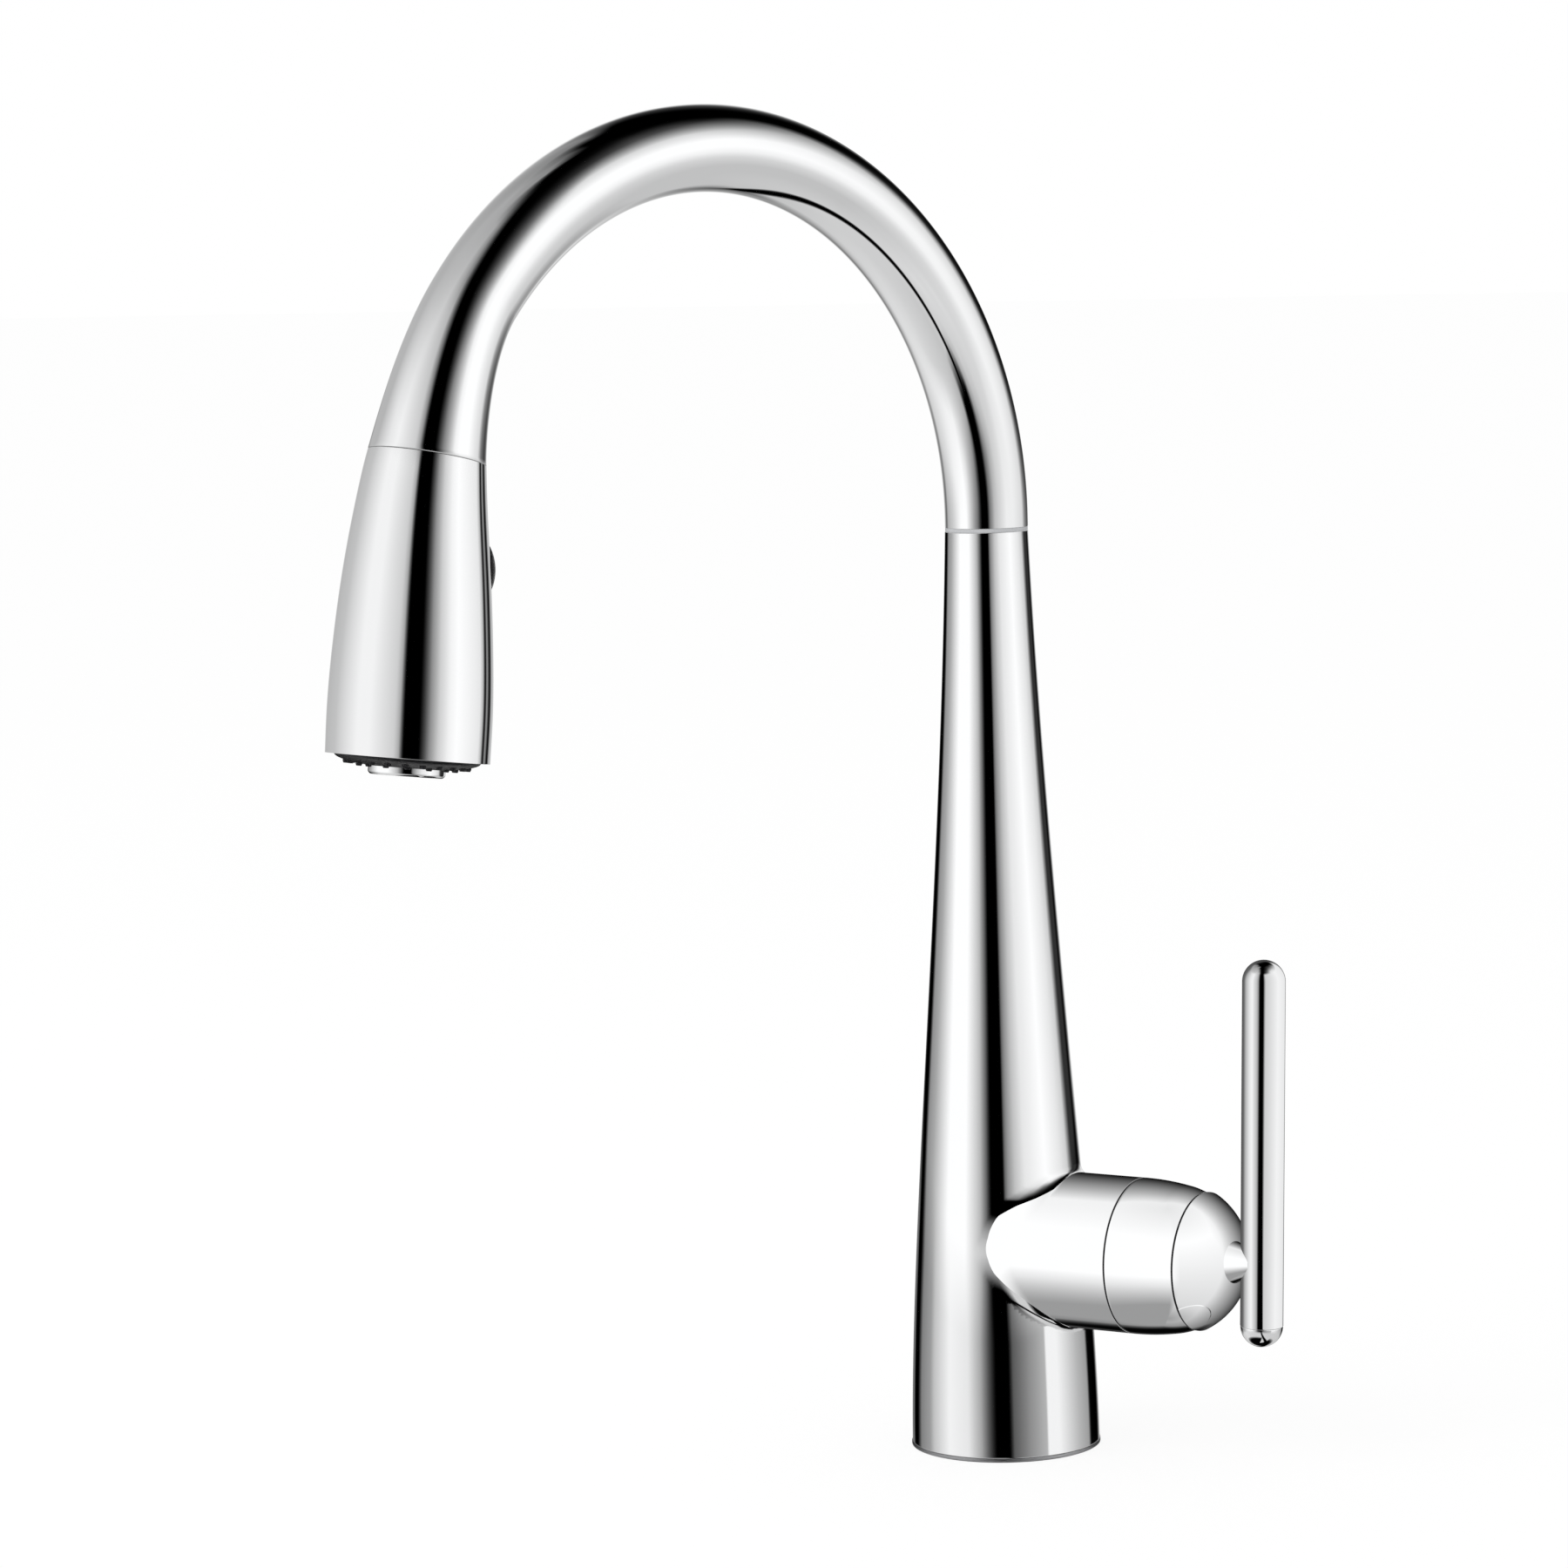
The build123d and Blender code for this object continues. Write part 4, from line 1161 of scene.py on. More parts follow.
@dataclass
class Bonnet:
    """The chrome bonnet that closes the hub and ends in the ball under the handle's dome."""

    column: Column
    pivot_x: float = 55.0
    ball_r: float = 21.25
    ball_start: float = 3.5
    tip: float = 50.0
    wall: float = 1.5
    thread_r: float = 19.35
    thread_x: float = 54.0
    # Setback of the black ring in the seam from the hub's outside; the ring is painted shade.
    seam_shade_recess: float = 0.16
    edge: float = 0.06

    def outline(self) -> list[Pair]:
        """The bonnet's half section.

        Returns:
            Its corners, as (radius, distance along the hub).
        """
        start = math.degrees(math.asin(self.ball_start / self.ball_r))
        ball = arc(self.ball_r, start, self.tip, self.pivot_x)
        x0, r0 = self.column.hub_end_x, self.column.hub_r
        x1, r1 = ball[0][1], ball[0][0]
        fall = (r0 - r1) / (x1 - x0) ** 2
        belly = [(r0 - fall * (x - x0) ** 2, float(x)) for x in np.linspace(x0 + 1, x1, 14)[:-1]]
        bore = arc(self.ball_r - self.wall, self.tip, start, self.pivot_x)
        start_x = x0 + self.column.seam
        return [(r0, start_x), *belly, *ball, *bore, (self.thread_r, self.thread_x),
                (self.thread_r, start_x)]

    def make(self) -> None:
        """Builds and dresses the bonnet, and a black ring in its seam that paints the seam's shade as a
        dark line.
        """
        bm = turned(self.outline(), self.column.hub_frame())
        soften(bm, self.edge, 2)
        add_piece(bm, "hub_bonnet", Body.ROOT, CHROME, "bonnet_ring")
        # A black ring in the seam stands in for the shade there: painted shade, shown as a dark line.
        x0, half = self.column.hub_end_x, self.column.seam - 0.01
        inner, outer = self.thread_r + 0.1, self.column.hub_r - self.seam_shade_recess
        seam_shade_ring = turned([(inner, x0 - half), (outer, x0 - half), (outer, x0 + half), (inner, x0 + half)],
                      self.column.hub_frame())
        add_piece(seam_shade_ring, "bonnet_seam_shade", Body.ROOT, BLACK_PLASTIC)


@dataclass
class Handle:
    """The dome, its plug, the neck and the upright bar."""

    column: Column
    pivot_x: float = 55.0
    rest_tilt: float = 5.5
    dome_r: float = 22.3
    dome_bore_r: float = 21.55
    rim: float = 10.6
    plug_azimuth: float = 37.0
    plug_z: float = 9.4
    plug_r: float = 6.2
    plug_gap: float = 0.16
    notch_x: float = 1.9
    notch_r: float = 0.5
    cut: Pair = (8.0, 30.0)
    # Width and depth of the black ring under the dome's rim, which is painted shade.
    rim_shade_ring: Pair = (0.7, 0.6)
    bar_x: float = 83.6
    bar_r: float = 6.05
    bar_lean: float = 1.44
    bar_low_z: float = 35.3
    bar_high_z: float = 145.0
    neck_root_r: float = 5.9
    neck_tip_r: float = 2.6
    neck_turn: float = 6.0
    neck_rise: float = 2.8

    def centre(self) -> Vector:
        """The point about which the handle tilts."""
        return Vector((self.pivot_x, 0, self.column.hub_z))

    def plug_frame(self) -> Matrix:
        """The plug's frame.

        Returns:
            The frame, with its Z out through the middle of the plug.
        """
        lever = Matrix.Translation(self.centre()) @ Matrix.Rotation(
            math.radians(90 - self.rest_tilt), 4, "Y")
        turn = Matrix.Rotation(math.radians(-self.plug_azimuth), 4, "Z")
        return lever @ Matrix.Translation((0, 0, self.plug_z)) @ turn @ Matrix.Rotation(
            math.pi / 2, 4, "Y")

    def ball_normals(self, p: np.ndarray) -> np.ndarray:
        """Directions straight out from the dome's centre."""
        out = p - np.array(self.centre())
        return out / np.linalg.norm(out, axis=1)[:, None]

    def cap(self, name: str, outer: float) -> bpy.types.Object:
        """A ball-shaped shell from the rim to the pole, about the hub's axis.

        Args:
            name: The piece's name.
            outer: Its outside radius in mm.

        Returns:
            The closed shell.
        """
        inner = self.dome_bore_r
        skin = arc(outer, math.degrees(math.asin(self.rim / outer)), 90, steps=64)
        bore = arc(inner, 90, math.degrees(math.asin(self.rim / inner)), steps=64)
        place = Matrix.Translation((self.pivot_x, 0, 0)) @ self.column.hub_frame()
        bm = turned([*skin, *bore], place, 2 * ROUND)
        soften(bm, 0.1, 2)
        return to_object(bm, name)

    def dome(self) -> None:
        """The dome with the opening for its plug, the plug, and a black ring under the dome's rim that
        paints the shade where the rim meets the ball.
        """
        dome = self.cap("handle_ball_dome", self.dome_r)
        combined(dome, prism(self.plug_r, self.plug_r, *self.cut, self.plug_frame()), "DIFFERENCE")
        smooth(dome)
        true_normals(dome, self.ball_normals)
        hand_over(dome, Body.HANDLE, CHROME, "handle_dome")
        plug = self.cap("handle_screw_plug", self.dome_r + 0.1)
        inside = self.plug_r - self.plug_gap
        combined(plug, prism(inside, inside, *self.cut, self.plug_frame()), "INTERSECT")
        notch = self.plug_frame() @ Matrix.Translation((self.notch_x, 0, 0))
        combined(plug, prism(self.notch_r, self.notch_r, *self.cut, notch, 24), "DIFFERENCE")
        smooth(plug)
        true_normals(plug, self.ball_normals)
        hand_over(plug, Body.HANDLE, CHROME, "screw_plug")
        # A black ring under the dome's rim stands in for the shade where the rim meets the ball: painted
        # shade.
        outer = math.sqrt((self.dome_r - 0.06) ** 2 - self.rim ** 2)
        inner, low, high = outer - self.rim_shade_ring[0], self.rim - self.rim_shade_ring[1], self.rim + 0.02
        bm = turned([(inner, low), (outer, low), (outer, high), (inner, high)],
                    Matrix.Translation((self.pivot_x, 0, 0)) @ self.column.hub_frame(), 2 * ROUND)
        add_piece(bm, "dome_rim_shade", Body.HANDLE, BLACK_PLASTIC)

    def bar(self) -> None:
        """The bar with its round top, and the round foot under a seam."""
        lean = math.radians(self.bar_lean)
        place = Matrix.Translation((self.bar_x, 0, self.column.hub_z)) @ Matrix.Rotation(lean, 4, "Y")
        low = (self.bar_low_z - self.column.hub_z) / math.cos(lean)
        high = (self.bar_high_z - self.column.hub_z) / math.cos(lean)
        seam = low + self.bar_r
        top = arc(self.bar_r, 0, 90, high - self.bar_r, 24)
        bm = turned([(0.0, seam + 0.02), (self.bar_r, seam + 0.02), *top], place, 96)
        soften(bm, 0.2, 2)
        add_piece(bm, "handle_upright_bar", Body.HANDLE, CHROME, "handle_bar")
        bm = turned([*arc(self.bar_r - 0.05, -90, 0, seam, 24), (0.0, seam)], place, 96)
        soften(bm, 0.2, 2)
        add_piece(bm, "handle_bar_foot", Body.HANDLE, CHROME, "bar_foot")

    def neck(self) -> None:
        """The cone between the dome and the bar."""
        turn = Matrix.Rotation(math.radians(-self.neck_turn), 4, "Z")
        rise = Matrix.Rotation(math.radians(90 - self.neck_rise), 4, "Y")
        root, tip = self.dome_r - 1.2, self.bar_x - self.pivot_x
        seat = math.sqrt(self.dome_r ** 2 - self.neck_root_r ** 2)
        slope = (self.neck_root_r - self.neck_tip_r) / (tip - seat)
        end = tip - 1.0
        bm = turned([(0.0, root), (self.neck_root_r, root), (self.neck_root_r, seat + 0.02),
                     (self.neck_tip_r + slope, end), (0.0, end)],
                    Matrix.Translation(self.centre()) @ turn @ rise, 96)
        add_piece(bm, "handle_neck_cone", Body.HANDLE, CHROME, "handle_neck")

    def make(self) -> None:
        """Builds and dresses the handle."""
        self.dome()
        self.bar()
        self.neck()


@dataclass
class Gooseneck:
    """The spout: riser, arch and flared mouth."""

    plane: SpoutPlane = SpoutPlane()
    tube_r: float = 11.8
    bore_r: float = 10.65
    foot_z: float = 264.95
    arch_z: float = 267.4
    arch_r: float = 105.3
    sweep: float = 140.0
    mouth: Pair = (203.8, 294.5)
    mouth_tilt: float = 13.5
    mouth_r: float = 15.4
    mouth_wall: float = 1.6
    flare_pull: float = 14.0
    flare_power: float = 1.5
    edge: float = 0.06

    def arch_point(self, angle: float) -> tuple[np.ndarray, np.ndarray]:
        """Centre and direction at an angle round the arch.

        Args:
            angle: Degrees from the top of the riser.

        Returns:
            The point and the unit direction, in the spout's plane.
        """
        a = math.radians(angle)
        point = np.array([self.arch_r * (1 - math.cos(a)), self.arch_z + self.arch_r * math.sin(a)])
        return point, np.array([math.sin(a), math.cos(a)])

    def flare(self) -> Bezier:
        """The centreline of the flared end.

        Returns:
            The curve, in the spout's plane.
        """
        start = self.arch_point(self.sweep)[0]
        mouth = np.array(self.mouth)
        return Bezier((start, start + heading(180 - self.sweep, self.flare_pull),
                       mouth - heading(self.mouth_tilt, self.flare_pull), mouth))

    def centreline(self) -> list[tuple[np.ndarray, np.ndarray, float]]:
        """The line that the spout follows from its foot to its mouth.

        Returns:
            Points, directions and shares of the flare.
        """
        up = np.array([0.0, 1.0])
        line = [(np.array([0.0, z]), up, 0.0) for z in (self.foot_z, self.foot_z + 0.8)]
        line += [(*self.arch_point(a), 0.0) for a in np.linspace(0, self.sweep, 113)]
        flare = self.flare()
        stations = [*np.linspace(0, 0.975, 40)[1:], 1.0]
        return line + [(flare.at(t), flare.along(t), float(t)) for t in stations]

    def rings(self, radius: float, at_mouth: float) -> list[Ring]:
        """Stations of a skin that follows the spout.

        Args:
            radius: Its radius before the flare, in mm.
            at_mouth: Its radius at the mouth.

        Returns:
            The stations from the foot to the mouth.
        """
        return [Ring(self.plane.square_to(point, along),
                     radius + (at_mouth - radius) * share ** self.flare_power)
                for point, along, share in self.centreline()]

    def make(self) -> None:
        """Builds and dresses the spout."""
        outside = self.rings(self.tube_r, self.mouth_r)
        inside = self.rings(self.bore_r, self.mouth_r - self.mouth_wall)
        bm = swept([*outside, *reversed(inside)])
        soften(bm, self.edge, 2)
        add_piece(bm, "gooseneck_spout", Body.SPOUT, CHROME, "spout_tube")


@dataclass
class PullHose:
    """The braided hose that runs through the spout to the spray head.

    Close to the mouth the braid is drawn dense, so that it is even once the head is pulled out.
    """

    spout: Gooseneck
    radius: float = 5.45
    start_z: float = 265.1
    travel: float = 190.0
    tail_high: float = 9.6
    tail_low: float = 6.4
    pitch: float = 4.2
    steps: int = 48

    def tail(self) -> tuple[np.ndarray, np.ndarray]:
        """Both ends of the straight stretch that draws out, in the spout's plane."""
        mouth, down = np.array(self.spout.mouth), heading(self.spout.mouth_tilt)
        return mouth - down * self.tail_high, mouth - down * self.tail_low

    def centreline(self) -> list[tuple[np.ndarray, np.ndarray]]:
        """The line that the hose follows from the swivel to its ferrule.

        Returns:
            Points and directions.
        """
        up = np.array([0.0, 1.0])
        line = [(np.array([0.0, self.start_z]), up)]
        line += [self.spout.arch_point(a) for a in np.linspace(0, self.spout.sweep, 100)]
        begin, finish = self.tail()
        start, along = line[-1]
        reach = np.linalg.norm(begin - start) * 0.36
        down = heading(self.spout.mouth_tilt)
        turn = Bezier((start, start + along * reach, begin - down * reach, begin))
        line += [(turn.at(t), turn.along(t)) for t in np.linspace(0, 1, 24)[1:]]
        line += [(begin + (finish - begin) * t, down) for t in np.linspace(0, 1, 72)[1:]]
        return line

    def make(self) -> None:
        """Builds, maps and dresses the hose."""
        line = self.centreline()
        rings = [Ring(self.spout.plane.square_to(p, d), self.radius) for p, d in line]
        bm = swept(rings, closed=False, steps=self.steps)
        self.map_braid(bm, [p for p, _ in line])
        stretch = [self.spout.plane.place(p) for p in self.tail()]
        add_between(bm, "braided_pull_hose", (Body.SPOUT, Body.HEAD), stretch, BRAID, "pull_hose_upper")

    def map_braid(self, bm: bmesh.types.BMesh, points: Sequence[np.ndarray]) -> None:
        """Gives the hose a UV map: once round, and one unit for each braid pitch along it.

        Args:
            bm: The hose, in mm, with its stations in order.
            points: The centre of each station.
        """
        runs = [float(np.linalg.norm(b - a)) for a, b in zip(points, points[1:])]
        travelled = np.concatenate([[0.0], np.cumsum(runs)])
        begin = travelled[-1] - (self.tail_high - self.tail_low)
        t = np.clip((travelled - begin) / (travelled[-1] - begin), 0, 1)
        length = travelled + self.travel * t * t * (3 - 2 * t)
        uv = bm.loops.layers.uv.new("braid")
        bm.verts.ensure_lookup_table()
        for face in bm.faces:
            turns = [loop.vert.index % self.steps for loop in face.loops]
            wraps = max(turns) - min(turns) > 1
            for loop, turn in zip(face.loops, turns):
                ring = loop.vert.index // self.steps
                share = 1.0 if wraps and turn == 0 else turn / self.steps
                loop[uv].uv = (share, length[ring] / self.pitch)


@dataclass
class SprayHead:
    """The pull-out head: chromed shell, dark collar, toggle button and sprayer face."""

    spout: Gooseneck
    foot: Pair = (213.6, 217.3)
    tilt: float = 6.0
    face_tilt: float = 8.0
    radii: SmoothTable = SmoothTable((0.0, 0.215, 0.45, 0.675, 0.875, 1.0),
                                     (15.4, 17.0, 19.05, 20.65, 21.4, 21.3))
    wall: float = 2.0
    seam: float = 0.0055
    edge: float = 0.1
    button_h: float = 49.0
    button_turn: float = 25.0
    button_x: float = 7.4
    button_y: float = 6.5
    button_crown: float = 13.3
    button_peak: float = 20.6
    button_back: float = 13.3
    slot_gap: float = 0.3
    slot_cut: Pair = (10.0, 26.0)
    plate_r: float = 18.95
    plate_back: float = 2.5
    aerator_r: float = 10.0
    aerator_bore_r: float = 8.4
    aerator_z: Pair = (-4.6, 3.6)
    mat_r: float = 17.6
    mat_z: Pair = (2.55, 3.6)
    nozzle_r: float = 0.9
    nozzle_rings: tuple = ((22, 15.8, -2.3), (14, 12.7, -2.8))
    coil_r: float = 3.7
    wire_r: float = 0.15
    coil: Pair = (10.95, 13.0)
    coil_turns: float = 2.25
    coil_bend: Pair = (10.0, 13.6)

    def axis(self) -> Bezier:
        """The head's centreline.

        Returns:
            The curve from the seam to the face.
        """
        mouth, foot = np.array(self.spout.mouth), np.array(self.foot)
        return Bezier((mouth, mouth + heading(self.spout.mouth_tilt, 16.0),
                       foot - heading(self.tilt, 30.0), foot))

    def head_frame(self) -> Matrix:
        """The frame of the lower body, Z up its axis."""
        return self.spout.plane.tilted(self.foot, self.tilt)

    def face_frame(self) -> Matrix:
        """The frame of the sprayer face, Z up out of the back of it."""
        return self.spout.plane.tilted(self.foot, self.face_tilt)

    def button_frame(self) -> Matrix:
        """The button's frame.

        Returns:
            The frame, with its Z out through the button and its X down the head.
        """
        lift = Matrix.Translation((0, 0, self.button_h))
        turn = Matrix.Rotation(math.radians(180 - self.button_turn), 4, "Z")
        return self.head_frame() @ lift @ turn @ Matrix.Rotation(math.pi / 2, 4, "Y")

    def rings(self, inset: float) -> list[Ring]:
        """Stations of a skin that follows the head, ending just below the face.

        Args:
            inset: How far it lies inside the head's outside, in mm.

        Returns:
            The stations from the seam down.
        """
        axis = self.axis()
        stations = [self.seam, 0.012, *np.linspace(0.02, 0.965, 64)]
        rings = [Ring(self.spout.plane.square_to(axis.at(t), axis.along(t)),
                      self.radii.at(float(t)) - inset) for t in stations]
        below = np.array(self.foot) + heading(self.tilt, 2.0)
        return rings + [Ring(self.spout.plane.square_to(below, heading(self.tilt)),
                             self.radii.at(1.0) - inset)]

    def skin_normals(self, p: np.ndarray) -> np.ndarray:
        """Directions straight out of the head's outside.

        Args:
            p: Points in mm.

        Returns:
            Unit directions.
        """
        axis, plane = self.axis(), self.spout.plane
        t = np.linspace(0, 1, 900)
        centres = np.array([plane.place(axis.at(x)) for x in t])
        alongs = np.array([plane.place(axis.along(x)) for x in t])
        radii = np.array([self.radii.at(float(x)) for x in t])
        length = np.concatenate([[0], np.cumsum(np.linalg.norm(np.diff(centres, axis=0), axis=1))])
        slope = np.gradient(radii, length)
        nearest = np.empty(len(p), int)
        for start in range(0, len(p), 4000):
            block = p[start:start + 4000]
            away = np.abs(((block[:, None] - centres[None]) * alongs[None]).sum(2))
            nearest[start:start + 4000] = away.argmin(1)
        out = p - centres[nearest]
        along = alongs[nearest]
        out -= along * (out * along).sum(1)[:, None]
        out /= np.linalg.norm(out, axis=1)[:, None] + 1e-12
        out -= along * slope[nearest][:, None]
        return out / np.linalg.norm(out, axis=1)[:, None]

    def shell(self) -> None:
        """The chromed shell with the opening for the button."""
        bm = swept([*self.rings(0.0), *reversed(self.rings(self.wall))])
        face = self.face_frame()
        rim = cut_away(bm, face.translation, face.to_3x3() @ Vector((0, 0, -1)))
        bmesh.ops.bridge_loops(bm, edges=rim)
        bmesh.ops.recalc_face_normals(bm, faces=bm.faces)
        soften(bm, self.edge, 3)
        piece = to_object(bm, "spray_head_shell")
        slot = prism(self.button_x + self.slot_gap, self.button_y + self.slot_gap, *self.slot_cut,
                     self.button_frame())
        combined(piece, slot, "DIFFERENCE")
        smooth(piece)
        true_normals(piece, self.skin_normals)
        hand_over(piece, Body.HEAD, CHROME, "spray_shell")

    def button(self) -> None:
        """The crowned oval button."""
        ball_z = self.button_peak - self.button_crown
        reach = self.button_x
        edge_angle = math.degrees(math.acos(reach / self.button_crown))
        top = arc(self.button_crown, edge_angle, 90, ball_z, 24)
        bm = turned([(0.0, self.button_back), (reach, self.button_back), *top], steps=96)
        soften(bm, 0.5, 3, 30.0)
        narrow = Matrix.Diagonal((1.0, self.button_y / self.button_x, 1.0, 1.0))
        bmesh.ops.transform(bm, matrix=self.button_frame() @ narrow, verts=bm.verts)
        add_piece(bm, "spray_toggle_button", Body.TOGGLE, BLACK_PLASTIC, "toggle_button")

    def spring(self) -> None:
        """The return coil behind the button."""
        place, stations = self.button_frame(), []
        rise = (self.coil[1] - self.coil[0]) / (math.tau * self.coil_turns * self.coil_r)
        for share in np.linspace(0, 1, 109):
            turn = math.tau * self.coil_turns * share
            out = Vector((math.cos(turn), math.sin(turn), 0))
            along = Vector((-out.y, out.x, rise)).normalized()
            height = self.coil[0] * (1 - share) + self.coil[1] * share
            where = out * self.coil_r + Vector((0, 0, height))
            stations.append(Ring(place @ frame_matrix(where, out, along.cross(out), along), self.wire_r))
        bm = swept(stations, closed=False, steps=12)
        stretch = [place @ Vector((0, 0, z)) for z in self.coil_bend]
        add_between(bm, "button_return_spring", (Body.HEAD, Body.TOGGLE), stretch, STEEL, "button_spring")

    def face(self) -> None:
        """The bulging black plate and the aerator ring."""
        inner = self.aerator_r + 0.15
        bulge = Bezier(((inner, -2.45), (16.5, -1.7), (18.6, -0.9), (self.plate_r, -0.1)))
        skin = [tuple(bulge.at(t)) for t in np.linspace(0, 1, 18)]
        bm = turned([*skin, (self.plate_r, self.plate_back), (inner, self.plate_back)],
                    self.face_frame())
        soften(bm, 0.2, 2)
        add_piece(bm, "sprayer_face_plate", Body.HEAD, BLACK_PLASTIC, "face_plate")
        (low, high), bore, lead_in = self.aerator_z, self.aerator_bore_r, 0.6
        ring = turned([(bore, low), (self.aerator_r - lead_in, low), (self.aerator_r, low + lead_in),
                       (self.aerator_r, high), (bore, high)], self.face_frame())
        soften(ring, 0.22, 3, 30.0)
        add_piece(ring, "aerator_trim_ring", Body.HEAD, CHROME, "aerator_ring")

    def nozzles(self) -> None:
        """The rubber nubs in two rings, standing out of the plate."""
        inner, (low, high) = self.aerator_r + 0.4, self.mat_z
        whole = turned([(inner, low), (self.mat_r, low), (self.mat_r, high), (inner, high)],
                       self.face_frame(), 64)
        mesh = bpy.data.meshes.new("nub")
        for count, radius, tip in self.nozzle_rings:
            for i in range(count):
                turn = Matrix.Rotation(math.tau * i / count, 4, "Z")
                place = self.face_frame() @ turn @ Matrix.Translation((radius, 0, 0))
                r = self.nozzle_r
                nub = turned([(0.0, tip + 0.5), (r * 0.35, tip + 0.5), (r * 0.45, tip),
                              (r * 0.75, tip), (r, tip + 0.5), (r, 2.6), (0.0, 2.6)], place, 16)
                nub.to_mesh(mesh)
                nub.free()
                whole.from_mesh(mesh)
        bpy.data.meshes.remove(mesh)
        add_piece(whole, "spray_nozzle_nubs", Body.HEAD, SILICONE, "spray_nozzles")

    def make(self) -> None:
        """Builds and dresses the head."""
        self.shell()
        self.button()
        self.spring()
        self.face()
        self.nozzles()


@dataclass
class CarriedOver:
    """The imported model's own pieces that stay as they are, with the finish of each."""

    finishes: dict[str, Finish] = field(default_factory=lambda: {
        "shank": BRASS, "mounting_nut": BRASS, "valve_manifold": BRASS,
        "hot_inlet_fitting": BRASS, "cold_inlet_fitting": BRASS, "cartridge_nut": BRASS,
        "spout_spigot": BRASS, "hose_connector": BRASS, "hose_ferrule": BRASS,
        "lever_stem": BRASS, "hot_inlet_tube": COPPER, "cold_inlet_tube": COPPER,
        "outlet_tube": COPPER, "clamp_washer": STEEL, "jack_screws": STEEL, "lever_pin": STEEL,
        "handle_screw": STEEL, "retaining_clip": STEEL,
        "aerator_screen": STEEL, "deck_gasket": RUBBER, "clamp_gasket": RUBBER,
        "port_seals": RUBBER, "spigot_o_rings": RUBBER, "hose_washer": RUBBER,
        "upper_bush": ACETAL, "lower_bush": ACETAL, "cartridge_housing": VALVE_PLASTIC,
        "cartridge_base": VALVE_PLASTIC, "cartridge_rotor": VALVE_PLASTIC,
        "disc_carrier": VALVE_PLASTIC, "check_valve": VALVE_PLASTIC, "fixed_disc": ALUMINA,
        "moving_disc": ALUMINA, "diverter_spool": BLACK_PLASTIC, "dock_collar": BLACK_PLASTIC,
        "dock_insert": BLACK_PLASTIC, "spray_core": WATERWAY, "pull_hose_lower": RUBBER,
    })

    def make(self) -> None:
        """Dresses each node."""
        for name, finish in self.finishes.items():
            finish.dress(frame["nodes"][name])
            log.info("%s: %s", name, finish.slot.value)


# ---------------------------------------------------------------- camera and studio


